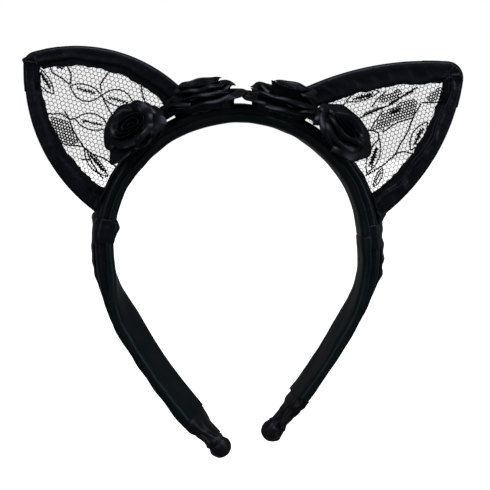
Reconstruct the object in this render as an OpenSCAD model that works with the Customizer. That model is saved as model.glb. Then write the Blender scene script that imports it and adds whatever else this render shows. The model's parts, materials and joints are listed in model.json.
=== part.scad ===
// Cat ears headband: a sprung plastic strip in a satin cover, two wired ears
// with lace windows, and four rolled ribbon roses.
// Origin: centre of the arch's inner circle. +Z up, +X to the right, -Y to the front.

/* [Band] */
// Inner radius of the arch, on the lining
arch_r = 54.5; // [50:0.5:58]
// Width of the covered band, front to back
band_w = 15; // [14:0.5:17]
// Thickness of the padded arch
arch_t = 7.6; // [7.2:0.1:8.4]
// Thickness of the legs where the padding has run out
leg_t = 4.8; // [4.6:0.1:5.6]
// How far below the horizontal each leg starts to flex, in degrees
pivot_angle = 8.5; // [6:0.5:12]
// How far below the horizontal the leg leaves the arch's circle, in degrees
lead_angle = 28; // [24:0.5:32]
// Radius of the gentle curve of the lower legs
leg_curve = 280; // [260:10:500]
// Length of the lower leg
leg_len = 69; // [64:0.5:72]
// How far the strip is pulled through towards the left leg
slip = 5; // [0:0.5:6]
// Turn of the strip at the left tip, inner face to the front, in degrees
twist_left = 30; // [0:1:32]
// The same at the right tip
twist_right = 5; // [0:1:32]

/* [Ears] */
// Width of the satin binding, left ear
bind_left = 8; // [7.5:0.25:9]
// Width of the satin binding, right ear
bind_right = 9.5; // [8:0.25:10]
// Thickness of the binding
bind_t = 3.2; // [3:0.1:3.6]
// Distance of the ear's plane behind the middle of the band
ear_y = 3.5; // [3:0.25:4]
// Radius of the upper edge, left ear
upper_left = 65; // [63:1:75]
// Radius of the upper edge, right ear
upper_right = 132; // [110:1:150]
// Radius of the outer edge, left ear
outer_left = 74; // [72:1:80]
// Radius of the outer edge, right ear
outer_right = 91; // [86:1:96]
// Diameter of the frame wire
wire_d = 1.2; // [1:0.1:1.4]

/* [Roses] */
// Long diameter of the upper roses
rose_top_d = 31; // [28:1:32]
// Diameter of the lower roses
rose_low_d = 25; // [22:1:26]

/* [Hidden] */

$fn = 96;
LEFT = -1;
RIGHT = 1;
satin = [0.05, 0.05, 0.06];
ribbon = [0.05, 0.07, 0.07];
play = 0.1;               // gap between layers of the band
lining_t = 0.6;
core_t = 2;
core_w = 11;
cover_t = 0.9;
cover_round = 2;          // rounding of the cover's outer edges
edge_round = 0.8;         // rounding of its inner edges
lining_w = 13;
flex_gap = 0.3;           // gap in the strip at each flex pivot
flex_open = 35;           // how far each leg opens, in degrees
arch_mid = arch_r + arch_t / 2;
arch_out = arch_r + arch_t;
sock_len = 20;            // fabric end over the tip
rings = 30;               // rings of a leg's sweep
pad_min = 0.4;
ear_gap = 1.2;            // between the ear's feet and the band
// Each ear on the right-hand side, [x, z]: upper foot, corner of the tip, outer foot, then the
// radii of its two edges, the binding's width and the rounding of the tip.
ears = [
    [[16.5, 59.9], [91, 82.7], [60.5, 14.2], upper_left, outer_left, bind_left, 5],
    [[14.2, 60.5], [100.9, 79.7], [61.3, 10], upper_right, outer_right, bind_right, 6]
];
wire_in = 2.4;            // wire's distance inside the ear's edge
lace_t = 0.5;
lace_tuck = 4;            // how deep the lace runs into the binding

// ---------------------------------------------------------------- geometry helpers

function on_circle(r, a) = [r * cos(a), r * sin(a)];

// Centre of the circle of radius r through p and q, on the right of the way from p to q.
function arc_centre(p, q, r) =
    let (mid = (p + q) / 2, d = q - p, h = norm(d) / 2)
    mid + [d[1], -d[0]] / norm(d) * sqrt(r * r - h * h);

// The crossing of two circles that lies on the side given by side (1 or -1).
function circles_meet(c1, r1, c2, r2, side) =
    let (
        d = c2 - c1,
        n = norm(d),
        a = (r1 * r1 - r2 * r2 + n * n) / (2 * n),
        h = sqrt(r1 * r1 - a * a),
        u = d / n
    )
    c1 + a * u + side * h * [-u[1], u[0]];

function angle_of(v) = atan2(v[1], v[0]);

// Turns a 2D drawing in X and Z (drawn as X, Y) into a plate of thickness t about y.
module plate(t, y) {
    translate([0, y + t / 2, 0]) rotate([90, 0, 0]) linear_extrude(t) children();
}

// Revolves a section (radius along X, width along Y) about an axis along Y through centre c,
// from angle a0 to a1 counted from +X towards +Z.
module arc_solid(c, a0, a1, y = 0) {
    translate([c[0], y, c[1]]) rotate([90, 0, 0]) rotate([0, 0, a0])
        rotate_extrude(angle = a1 - a0) children();
}

module rounded(w, h, r) {
    for (x = [-1, 1], y = [-1, 1]) translate([x * (w / 2 - r), y * (h / 2 - r)]) circle(r, $fn = 32);
    square([w - 2 * r, h], center = true);
    square([w, h - 2 * r], center = true);
}

// ---------------------------------------------------------------- the arch

arch_a0 = -pivot_angle;
arch_a1 = 180 + pivot_angle;
core_in = lining_t + play;                      // from the lining's face to the strip
pad_in = core_in + core_t + play;               // from the lining's face to the padding
channel_w = core_w + 0.4;

module arch_part(angle_inset = 0) {
    arc_solid([0, 0], arch_a0 + angle_inset, arch_a1 - angle_inset) children();
}

module core_arch() {
    color("dimgray") difference() {
        arch_part() translate([arch_r + core_in, -core_w / 2]) square([core_t, core_w]);
        for (side = [LEFT, RIGHT]) at_pivot(side)
            rotate([90, 0, 0]) cylinder(r = core_t / 2 + flex_gap, h = band_w, center = true);
    }
}

module pad_arch() {
    t = arch_t - pad_in - cover_t - play;
    color("gray") difference() {
        arch_part(0.4) translate([arch_r + pad_in + t / 2, 0]) rounded(t, core_w, 1.2);
        flex_notch(LEFT);
        flex_notch(RIGHT);
    }
}

// Outline of the covered band, grown by extra.
module cover_outline(t, extra) {
    rounded(t + 2 * extra, band_w + 2 * extra, cover_round + extra);
    translate([-t / 4, 0]) rounded(t / 2 + 2 * extra, band_w + 2 * extra, edge_round + extra);
}

// The cover is a channel, open on the inner face where the lining closes it.
module cover_arch() {
    outer_t = arch_t - lining_t;
    color(satin) difference() {
        arch_part(0.4) translate([arch_r + lining_t + outer_t / 2, 0]) difference() {
            cover_outline(outer_t, 0);
            translate([-cover_t, 0]) square([outer_t, channel_w], center = true);
        }
        flex_notch(LEFT);
        flex_notch(RIGHT);
    }
}

module lining_arch() {
    color(ribbon) arch_part(0.4) translate([arch_r, -lining_w / 2]) square([lining_t - 0.02, lining_w]);
}

// ---------------------------------------------------------------- the legs

// Room on the outside of each pivot, half in the arch and half in the leg, for the leg to open.
half_open = flex_open / 2 + 0.5;
module flex_notch(side) {
    at_pivot(side) plate(band_w + 2, 0) scale([side, 1]) rotate(-pivot_angle)
        polygon([[-0.3, 0.1], [12, 0.1], [12, 12 * tan(half_open)], [-0.3, 0.4]]);
}

pivot_r = arch_r + core_in + core_t / 2;
pivot = on_circle(pivot_r, -pivot_angle);

module at_pivot(side) {
    translate([side * pivot[0], 0, pivot[1]]) children();
}

upper_len = arch_mid * (lead_angle - pivot_angle) * PI / 180;
lead_point = on_circle(arch_mid, -lead_angle);
function lower_len(side) = leg_len - side * slip;
function leg_total(side) = upper_len + lower_len(side);

// Middle of the band's thickness at length s from the pivot, on the right leg: [x, z, turn].
// turn is how far the path has turned inwards from straight down.
function leg_point(s) =
    s <= upper_len
    ? let (a = pivot_angle + s / arch_mid * 180 / PI)
        [arch_mid * cos(a), -arch_mid * sin(a), a]
    : let (b = (s - upper_len) / leg_curve * 180 / PI, a = lead_angle + b)
        [lead_point[0] - leg_curve * (cos(lead_angle) - cos(a)),
         lead_point[1] - leg_curve * (sin(a) - sin(lead_angle)), a];

function ease(x) = let (c = max(0, min(1, x))) c * c * (3 - 2 * c);
function thick_at(s) = arch_t + (leg_t - arch_t) * ease(s / 28);
function twist_at(side, s) = (side == LEFT ? twist_left : twist_right) * ease(s / 62);

// A point of the leg's section: n outwards, w to the back, at length s.
function leg_place(side, s, n, w) =
    let (
        p = leg_point(s),
        t = twist_at(side, s),
        nn = n * cos(t) - w * sin(t),
        ww = n * sin(t) + w * cos(t)
    )
    [side * (p[0] + nn * cos(p[2])), ww, p[1] - nn * sin(p[2])];

// Outline of a rounded rectangle of size tw by ww, its middle at n0, as [n, w] points.
corner_points = 4;
function ring2d(n0, tw, ww, r) = [
    for (q = [0 : 3], i = [0 : corner_points - 1])
        let (
            a = q * 90 + i * 90 / (corner_points - 1),
            cx = (q == 0 || q == 3 ? 1 : -1) * (tw / 2 - r),
            cy = (q < 2 ? 1 : -1) * (ww / 2 - r)
        )
        [n0 + cx + r * cos(a), cy + r * sin(a)]
];

// Triangles between consecutive rings of m points; inward turns them over.
function skin(first, count, m, flip) = [
    for (i = [0 : count - 2], j = [0 : m - 1])
        let (
            a = first + i * m + j,
            b = first + i * m + (j + 1) % m,
            c = a + m,
            d = b + m
        )
        each flip ? [[a, c, b], [b, c, d]] : [[a, b, c], [b, d, c]]
];

// A closed sweep: rings is a list of rings of 3D points.
module sweep(rings_in, flip) {
    m = len(rings_in[0]);
    n = len(rings_in);
    ends = [
        [for (j = [0 : m - 1]) flip ? j : m - 1 - j],
        [for (j = [0 : m - 1]) (n - 1) * m + (flip ? m - 1 - j : j)]
    ];
    polyhedron([for (r = rings_in) each r], concat(skin(0, n, m, flip), ends));
}

// A swept channel: each ring is an outer chain of points and an inner chain of as many.
module channel(outer, inner, flip) {
    h = len(outer[0]);
    m = 2 * h;
    n = len(outer);
    points = [for (i = [0 : n - 1]) each concat(outer[i], [for (j = [0 : h - 1]) inner[i][h - 1 - j]])];
    far = (n - 1) * m;
    ends = [
        for (j = [0 : h - 2])
            let (k = m - 1 - j)
            each flip
            ? [[j, j + 1, k - 1], [j, k - 1, k], [far + j, far + k - 1, far + j + 1], [far + j, far + k, far + k - 1]]
            : [[j, k - 1, j + 1], [j, k, k - 1], [far + j, far + j + 1, far + k - 1], [far + j, far + k - 1, far + k]]
    ];
    polyhedron(points, concat(skin(0, n, m, flip), ends));
}

// The outer layers start farther down the farther out they are, which is the leg's half of the room.
function notch_at(s, n) = s > 12 ? 0 : tan(half_open) * max(0, n - core_n(s)) * (1 - s / 12);
function leg_ring(side, s, outline) = [for (p = outline) leg_place(side, s + notch_at(s, p[0]), p[0], p[1])];
function steps(s0, s1, n = rings) = [for (i = [0 : n - 1]) s0 + (s1 - s0) * i / (n - 1)];

// The strip's middle, measured from the middle of the band's thickness.
function core_n(s) = -thick_at(s) / 2 + core_in + core_t / 2;

module core_leg(side) {
    tip_s = leg_total(side) - 3;
    color("dimgray") union() {
        sweep([for (s = steps(0, tip_s)) leg_ring(side, s, ring2d(core_n(s), core_t, core_w, 0.2))], side == LEFT);
        at_pivot(side) rotate([90, 0, 0]) cylinder(r = core_t / 2, h = core_w, center = true);
    }
}

module pad_leg(side) {
    s1 = leg_total(side) - sock_len - 2;
    color("gray") sweep([
        for (s = steps(1.5, s1))
            let (t = max(pad_min, thick_at(s) - pad_in - cover_t - play))
            leg_ring(side, s, ring2d(-thick_at(s) / 2 + pad_in + t / 2, t, core_w, min(1.2, t * 0.45)))
    ], side == LEFT);
}

// Half of the channel's outer and inner chains, from the inner face's edge to the outer face.
function outer_half(n0, n1, b) = [
    [n0, b - edge_round],
    [n0 + edge_round * 0.3, b - edge_round * 0.3],
    [n0 + edge_round, b],
    for (a = [0 : 30 : 90]) [n1 - cover_round + cover_round * sin(a), b - cover_round + cover_round * cos(a)]
];
inner_round = 0.5;
function inner_half(n0, n1, a) = [
    [n0, a],
    [n0 + edge_round * 0.3, a],
    [n0 + edge_round, a],
    for (q = [0 : 30 : 90]) [n1 - cover_t - inner_round * (1 - sin(q)), a - inner_round * (1 - cos(q))]
];
function both_sides(half) = concat(half, [for (i = [len(half) - 1 : -1 : 0]) [half[i][0], -half[i][1]]]);

module cover_leg(side) {
    lengths = steps(0.7, leg_total(side) - sock_len);
    color(satin) channel(
        [for (s = lengths) leg_ring(side, s,
            both_sides(outer_half(lining_t - thick_at(s) / 2, thick_at(s) / 2, band_w / 2)))],
        [for (s = lengths) leg_ring(side, s,
            both_sides(inner_half(lining_t - thick_at(s) / 2, thick_at(s) / 2, channel_w / 2)))],
        side == RIGHT
    );
}

module lining_leg(side) {
    s1 = leg_total(side) - sock_len;
    color(ribbon) sweep([
        for (s = steps(1.2, s1))
            leg_ring(side, s, ring2d(-thick_at(s) / 2 + lining_t / 2 - 0.02, lining_t - 0.04, lining_w, 0.25))
    ], side == LEFT);
}

// The sock narrows from the cover's size, then swells into a knob round the strip's end.
knob_r = 4.3;
function sock_w(u) = u < 0.72 ? band_w - 5.6 * ease(u / 0.72) : 2 * knob_r + 0.8;
module tip_sock(side) {
    total = leg_total(side);
    lengths = steps(total - sock_len + 0.05, total, 9);
    color(satin) difference() {
        union() {
            sweep([
                for (s = lengths)
                    let (u = (s - total + sock_len) / sock_len)
                    leg_ring(side, s, ring2d(0, leg_t + 0.2 + 0.8 * u, sock_w(u), 2.2))
            ], side == LEFT);
            translate(leg_place(side, total, 0, 0)) sphere(r = knob_r + 0.2, $fn = 32);
        }
        core_cavity(side, total);
    }
}

module core_cavity(side, total) {
    sweep([
        for (s = steps(total - sock_len - 2, total - 2.9, 9))
            leg_ring(side, s, ring2d(core_n(s), core_t + 0.1, core_w + 0.1, 0.2))
    ], side == LEFT);
}

// ---------------------------------------------------------------- the ears

function ear_of(side) = ears[side == LEFT ? 0 : 1];
function tip_of(side) = ear_of(side)[1];
function upper_r(side) = ear_of(side)[3];
function outer_r(side) = ear_of(side)[4];
function bind_w(side) = ear_of(side)[5];
function tip_round(side) = ear_of(side)[6];
function upper_c(side) = arc_centre(ear_of(side)[0], tip_of(side), upper_r(side));
function outer_c(side) = arc_centre(tip_of(side), ear_of(side)[2], outer_r(side));

// Where both edges, drawn in by inset, cross near the tip.
function corner_at(side, inset) =
    circles_meet(upper_c(side), upper_r(side) - inset, outer_c(side), outer_r(side) - inset, -1);

// Mirrors a right-hand ear to the left when side is LEFT.
module ear_side(side) {
    if (side == LEFT) mirror([1, 0, 0]) children();
    else children();
}

// Disc of the upper edge cut with the disc of the outer edge, both drawn in by inset.
module ear_lens(side, inset) {
    intersection() {
        translate(upper_c(side)) circle(upper_r(side) - inset, $fn = 240);
        translate(outer_c(side)) circle(outer_r(side) - inset, $fn = 240);
    }
}

// The ear's shape above the band, with a rounded tip.
module ear_outline(side) {
    c = corner_at(side, tip_round(side));
    to_upper = (c - upper_c(side)) / norm(c - upper_c(side));
    to_outer = (c - outer_c(side)) / norm(c - outer_c(side));
    difference() {
        ear_lens(side, 0);
        difference() {
            polygon([c, c + 20 * to_upper, c + [25, 25], c + 20 * to_outer]);
            translate(c) circle(tip_round(side) + 0.03, $fn = 64);
        }
        circle(arch_out + ear_gap, $fn = 240);
    }
}

// Points of the wire: along the upper edge, a small bend at the tip, down the outer edge.
// Each is [centre of the arc, radius, angle].
wire_bend = 3;
function wire_stops(side) =
    let (
        r1 = upper_r(side) - wire_in,
        r2 = outer_r(side) - wire_in,
        c1 = upper_c(side),
        c2 = outer_c(side),
        b = corner_at(side, wire_in + wire_bend),
        foot_r = arch_out + ear_gap + 0.6,
        up0 = angle_of(circles_meet([0, 0], foot_r, c1, r1, 1) - c1),
        up1 = angle_of(b - c1),
        out0 = angle_of(b - c2),
        out1 = angle_of(circles_meet([0, 0], foot_r, c2, r2, -1) - c2)
    )
    concat(
        [for (i = [0 : 11]) [c1, r1, up0 + (up1 - up0) * i / 11]],
        [for (i = [1 : 6]) [b, wire_bend, up1 + (out0 - up1) * i / 7]],
        [for (i = [0 : 11]) [c2, r2, out0 + (out1 - out0) * i / 11]]
    );

module ear_wire(side) {
    r = wire_d / 2;
    color("silver") ear_side(side) sweep([
        for (q = wire_stops(side)) [
            for (k = [0 : 9])
                let (a = k * 36, d = q[1] + r * cos(a))
                [q[0][0] + d * cos(q[2]), ear_y + r * sin(a), q[0][1] + d * sin(q[2])]
        ]
    ], false);
}

// The plane on the upper strip's side of the mitre through the tip.
mitre_gap = 0.1;
module upper_half(side) {
    inner = corner_at(side, bind_w(side));
    d = (tip_of(side) - inner) / norm(tip_of(side) - inner);
    n = [-d[1], d[0]];
    polygon([inner - 120 * d, inner + 40 * d, inner + 40 * d + 120 * n, inner - 120 * d + 120 * n]);
}

// Ribbon folded over the wire and the lace's edge, with a slot between its two layers.
slot_in = 1.5;
slot_t = wire_d + 0.4;
module binding(side, upper) {
    color(satin) ear_side(side) difference() {
        plate(bind_t, ear_y) difference() {
            intersection() {
                ear_outline(side);
                if (upper) translate([-mitre_gap / 2, mitre_gap / 2]) upper_half(side);
                else translate([mitre_gap / 2, -mitre_gap / 2]) difference() {
                    square(400, center = true);
                    upper_half(side);
                }
            }
            ear_lens(side, bind_w(side));
        }
        plate(slot_t, ear_y) ear_lens(side, slot_in);
    }
}

module ear_lace(side) {
    color("black", 0.4) ear_side(side) plate(lace_t, ear_y) difference() {
        ear_lens(side, bind_w(side) - lace_tuck);
        circle(arch_out + ear_gap + 0.4, $fn = 240);
    }
}

// Satin strip along the band under the lace's edge.
module ear_base_strip(side) {
    a0 = angle_of(ear_of(side)[2]) + 11;
    a1 = angle_of(ear_of(side)[0]) - 11;
    color(satin) ear_side(side) arc_solid([0, 0], a0, a1, ear_y - 5)
        translate([arch_out + 0.05 + 0.5, 0]) rounded(1, 5, 0.4);
}

// The lower binding's end, folded over the band's outer face and both its sides.
tab_turn = 7.5;
tab_t = 0.8;
module ear_tab(side) {
    a1 = angle_of(ear_of(side)[2]) - 1.5;
    outer_t = arch_t - lining_t;
    color(satin) ear_side(side) arc_solid([0, 0], a1 - tab_turn, a1)
        translate([arch_r + lining_t + outer_t / 2, 0]) difference() {
            cover_outline(outer_t, tab_t);
            cover_outline(outer_t, 0.1);
            translate([-outer_t / 2 - 2, 0]) square([4, band_w + 6], center = true);
        }
}

// ---------------------------------------------------------------- the roses

// Each rose: angle on the arch, distance of its seat from the centre, y, lean to the front,
// long diameter, share of that across, height.
top_seat = arch_out + 0.9;
low_seat = arch_out + 1.2;
top_roses = [
    [76.5, top_seat, -6.8, 14, rose_top_d, 0.52, 10.5],
    [73.5, top_seat, -6.8, 14, rose_top_d, 0.52, 10.5]
];
low_roses = [
    [47, low_seat, -11.2, 52, rose_low_d, 0.92, 10.5],
    [50, low_seat - 0.5, -11.2, 50, rose_low_d, 0.92, 10.5]
];
function rose_of(side, low) = (low ? low_roses : top_roses)[side == LEFT ? 0 : 1];

module at_rose(side, low) {
    r = rose_of(side, low);
    ear_side(side)
        translate([r[1] * cos(r[0]), r[2], r[1] * sin(r[0])])
            rotate([0, 90 - r[0], 0]) rotate([r[3], 0, 0]) children();
}

module rose_bud(side, low) {
    height = rose_of(side, low)[6];
    color(satin) at_rose(side, low) translate([0, 0, 1.5])
        cylinder(r1 = 2.6, r2 = 3.6, h = height - 1.5, $fn = 48);
}

// An elliptical disc of thickness t at height z, for the cup's hull.
module petal_disc(d, share, z, t) {
    translate([0, 0, z]) resize([d, d * share, t]) cylinder(r = 8, h = t, $fn = 32);
}

module rose_petals(side, low) {
    r = rose_of(side, low);
    d = r[4];
    color(satin) at_rose(side, low) difference() {
        hull() {
            petal_disc(d * 0.62, r[5], 1, 0.5);
            petal_disc(d, r[5], r[6] * 0.62, 0.8);
            petal_disc(d * 0.84, r[5], r[6] - 0.5, 0.5);
        }
        translate([0, 0, 1.4]) cylinder(r1 = 2.8, r2 = 4.2, h = r[6], $fn = 48);
    }
}

module rose_glue(side, low) {
    color("lightgray", 0.6) at_rose(side, low) translate([0, 0, -0.8]) cylinder(r1 = 3, r2 = 4, h = 1.7, $fn = 32);
}

core_arch();
core_leg(LEFT);  // core_leg_left
core_leg(RIGHT);  // core_leg_right
pad_arch();
pad_leg(LEFT);  // pad_leg_left
pad_leg(RIGHT);  // pad_leg_right
cover_arch();
cover_leg(LEFT);  // cover_leg_left
cover_leg(RIGHT);  // cover_leg_right
lining_arch();
lining_leg(LEFT);  // lining_leg_left
lining_leg(RIGHT);  // lining_leg_right
tip_sock(LEFT);  // tip_sock_left
tip_sock(RIGHT);  // tip_sock_right
ear_wire(LEFT);  // ear_wire_left
ear_wire(RIGHT);  // ear_wire_right
binding(LEFT, true);  // ear_binding_upper_left
binding(RIGHT, true);  // ear_binding_upper_right
binding(LEFT, false);  // ear_binding_outer_left
binding(RIGHT, false);  // ear_binding_outer_right
ear_base_strip(LEFT);  // ear_base_strip_left
ear_base_strip(RIGHT);  // ear_base_strip_right
ear_lace(LEFT);  // ear_lace_left
ear_lace(RIGHT);  // ear_lace_right
ear_tab(LEFT);  // ear_tab_left
ear_tab(RIGHT);  // ear_tab_right
rose_bud(LEFT, false);  // rose_top_left_bud
rose_petals(LEFT, false);  // rose_top_left_petals
rose_glue(LEFT, false);  // rose_top_left_glue
rose_bud(RIGHT, false);  // rose_top_right_bud
rose_petals(RIGHT, false);  // rose_top_right_petals
rose_glue(RIGHT, false);  // rose_top_right_glue
rose_bud(LEFT, true);  // rose_low_left_bud
rose_petals(LEFT, true);  // rose_low_left_petals
rose_glue(LEFT, true);  // rose_low_left_glue
rose_bud(RIGHT, true);  // rose_low_right_bud
rose_petals(RIGHT, true);  // rose_low_right_petals
rose_glue(RIGHT, true);  // rose_low_right_glue
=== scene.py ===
# %% [markdown]
# # Cat ears headband
# A sprung plastic strip wears a cover of black satin. Two wired ears with lace windows stand on
# it, and four rolled ribbon roses hide where the ears are glued down. The CAD model gives the
# sizes and the moving bodies, and this file gives every piece its real surface.

# %% Load the frame
import json
import math

import bmesh
import bpy
import numpy as np
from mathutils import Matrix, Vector, geometry


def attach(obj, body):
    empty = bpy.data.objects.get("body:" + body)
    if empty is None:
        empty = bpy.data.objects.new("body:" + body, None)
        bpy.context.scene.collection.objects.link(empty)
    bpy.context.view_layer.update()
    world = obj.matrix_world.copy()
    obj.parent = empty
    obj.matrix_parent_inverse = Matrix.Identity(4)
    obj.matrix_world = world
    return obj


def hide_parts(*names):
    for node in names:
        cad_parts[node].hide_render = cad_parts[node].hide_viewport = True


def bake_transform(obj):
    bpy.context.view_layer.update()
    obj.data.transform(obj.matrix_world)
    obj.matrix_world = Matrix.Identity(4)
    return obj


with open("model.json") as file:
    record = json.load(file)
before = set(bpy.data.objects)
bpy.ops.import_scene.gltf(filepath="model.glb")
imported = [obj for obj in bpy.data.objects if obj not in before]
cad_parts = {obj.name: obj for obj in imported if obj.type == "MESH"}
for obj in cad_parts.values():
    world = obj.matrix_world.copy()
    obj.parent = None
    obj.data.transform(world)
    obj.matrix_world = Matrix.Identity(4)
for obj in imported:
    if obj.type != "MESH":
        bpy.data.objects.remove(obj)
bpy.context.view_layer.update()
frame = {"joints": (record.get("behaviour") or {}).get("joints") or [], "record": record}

# %% [markdown]
# The script works in millimetres and turns them to metres where a mesh is made. The arch's inner
# radius comes from the CAD model's mount, and the flex pivots come from its joints. The other
# numbers are the driving dimensions of the headband.

# %% Sizes in millimetres
MM = 0.001
SIDES = {"left": -1, "right": 1}
ARCH_R = frame["record"]["mounts"][0]["dims"]["r_mm"]
BAND_W = 15.0
ARCH_T = 7.6
LEG_T = 4.8
ARCH_MID = ARCH_R + ARCH_T / 2
ARCH_OUT = ARCH_R + ARCH_T
PIVOT_ANGLE = 8.5
LEAD_ANGLE = 28.0
LEG_CURVE = 280.0
LEG_LENGTH = {"left": 74.0, "right": 64.0}
TWIST = {"left": (38.0, 27.0), "right": (14.0, 30.0)}  # degrees, and the mm they take
LEG_OUT = {"left": 0.0, "right": 1.1}
UPPER_LENGTH = ARCH_MID * math.radians(LEAD_ANGLE - PIVOT_ANGLE)
SOCK_LENGTH = 20.0
SEAM_ANGLE = 4.5
EAR_Y = 3.5
print("arch", ARCH_R, "to", ARCH_OUT, "mm; leg from pivot to tip", UPPER_LENGTH + LEG_LENGTH["left"])

# %% [markdown]
# Nothing sewn by hand is exactly even. One helper gives smooth random waves: a sum of sines
# whose directions and phases come from a fixed seed, so each run makes the same headband.


# %% Helpers for shapes
def waver(seed, wave, *places):
    """A smooth value between about -1 and 1 at places in mm; wave is the length of its waves."""
    draw = np.random.default_rng(seed)
    total = 0.0
    for _ in range(6):
        turn = draw.normal(size=len(places))
        turn *= math.tau / wave * draw.uniform(0.6, 1.6) / np.linalg.norm(turn)
        total = total + np.sin(sum(t * p for t, p in zip(turn, places)) + draw.uniform(0, math.tau))
    return total / 3


def ease(x):
    c = np.clip(x, 0, 1)
    return c * c * (3 - 2 * c)


def mix(a, b, share):
    return a + (b - a) * share


# %% [markdown]
# Most pieces here are cloth, and cloth is a grid: rows of points along its length. `sew` turns
# such a grid into a mesh with a UV map in metres, so that a weave drawn on it has its real size.
# It can close the rows into a tube and give a single layer its thickness.


# %% Grid of points to a finished piece
def finish_shape(obj, thick=0.0, levels=0, inward=True):
    """Gives the piece thickness in mm and smoothness, and leaves a plain mesh."""
    if thick:
        wall = obj.modifiers.new("thickness", "SOLIDIFY")
        wall.thickness = thick * MM
        wall.offset = -1 if inward else 0
    if levels:
        smooth = obj.modifiers.new("smooth", "SUBSURF")
        smooth.levels = smooth.render_levels = levels
    if obj.modifiers:
        seen = obj.evaluated_get(bpy.context.evaluated_depsgraph_get())
        made = bpy.data.meshes.new_from_object(seen)
        obj.modifiers.clear()
        obj.data = made
    obj.data.shade_smooth()
    return obj


def piece(name, points, faces, material, corners=None):
    """A mesh object from points in mm; corners holds a UV pair in metres for each face corner."""
    mesh = bpy.data.meshes.new(name)
    mesh.from_pydata((np.asarray(points, float) * MM).tolist(), [], faces)
    layer = mesh.uv_layers.new(name="UVMap")
    if corners is None:
        flat = np.asarray(points, float) * MM
        corners = [(flat[v][0], flat[v][2]) for f in faces for v in f]
    layer.data.foreach_set("uv", np.asarray(corners, float).ravel())
    mesh.materials.append(material)
    mesh.shade_smooth()
    obj = bpy.data.objects.new(name, mesh)
    bpy.context.scene.collection.objects.link(obj)
    return obj


def sew(name, grid, material, around=False, caps=False, flip=False, thick=0.0, levels=0, inward=True):
    grid = np.asarray(grid, float)
    rows, cols = grid.shape[:2]
    step_along = np.linalg.norm(np.diff(grid, axis=0), axis=2).mean(1)
    closed = np.concatenate([grid, grid[:, :1]], axis=1) if around else grid
    step_across = np.linalg.norm(np.diff(closed, axis=1), axis=2).mean(0)
    along = np.concatenate([[0], np.cumsum(step_along)]) * MM
    across = np.concatenate([[0], np.cumsum(step_across)]) * MM
    faces, corners = [], []
    for i in range(rows - 1):
        for j in range(cols if around else cols - 1):
            k = (j + 1) % cols
            face = [i * cols + j, i * cols + k, (i + 1) * cols + k, (i + 1) * cols + j]
            uv = [(along[i], across[j]), (along[i], across[j + 1]),
                  (along[i + 1], across[j + 1]), (along[i + 1], across[j])]
            faces.append(face[::-1] if flip else face)
            corners += uv[::-1] if flip else uv
    if caps:
        first, last = list(range(cols)), [(rows - 1) * cols + j for j in range(cols)]
        for ring in ((first if flip else first[::-1]), (last[::-1] if flip else last)):
            faces.append(ring)
            corners += [(along[0], across[v % cols]) for v in ring]
    obj = piece(name, grid.reshape(-1, 3), faces, material, corners)
    return finish_shape(obj, thick, levels, inward)


# %% [markdown]
# ## Materials
# Every colour is an sRGB hex value that one function turns to linear. One small function adds a
# node with its settings and links; the same function serves Geometry Nodes.


# %% Colour and node helpers
def colour(value):
    parts = [int(value[i:i + 2], 16) / 255 for i in (1, 3, 5)]
    return [c / 12.92 if c <= 0.04045 else ((c + 0.055) / 1.055) ** 2.4 for c in parts] + [1.0]


def add(tree, kind, inputs=None, **settings):
    node = tree.nodes.new(kind)
    for key, value in settings.items():
        setattr(node, key, value)
    for key, value in (inputs or {}).items():
        if isinstance(value, bpy.types.NodeSocket):
            tree.links.new(value, node.inputs[key])
        else:
            node.inputs[key].default_value = value
    return node


def new_material(name):
    """An empty material and its node tree, with the shader and the output in place."""
    made = bpy.data.materials.new(name)
    made.use_nodes = True
    tree = made.node_tree
    tree.nodes.clear()
    shader = add(tree, "ShaderNodeBsdfPrincipled")
    add(tree, "ShaderNodeOutputMaterial", {"Surface": shader.outputs["BSDF"]})
    return made, tree, shader


# %% [markdown]
# Satin is woven so that long threads float on its face. Light slides along them, so the gloss is
# stretched across the threads: that is the anisotropic part. The threads run along each ribbon,
# which is the U direction of its UV map. Real threads lie 0.1 mm apart, too fine to show, so
# they are drawn 0.35 mm apart. Small creases from handling lie across the threads.


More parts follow.
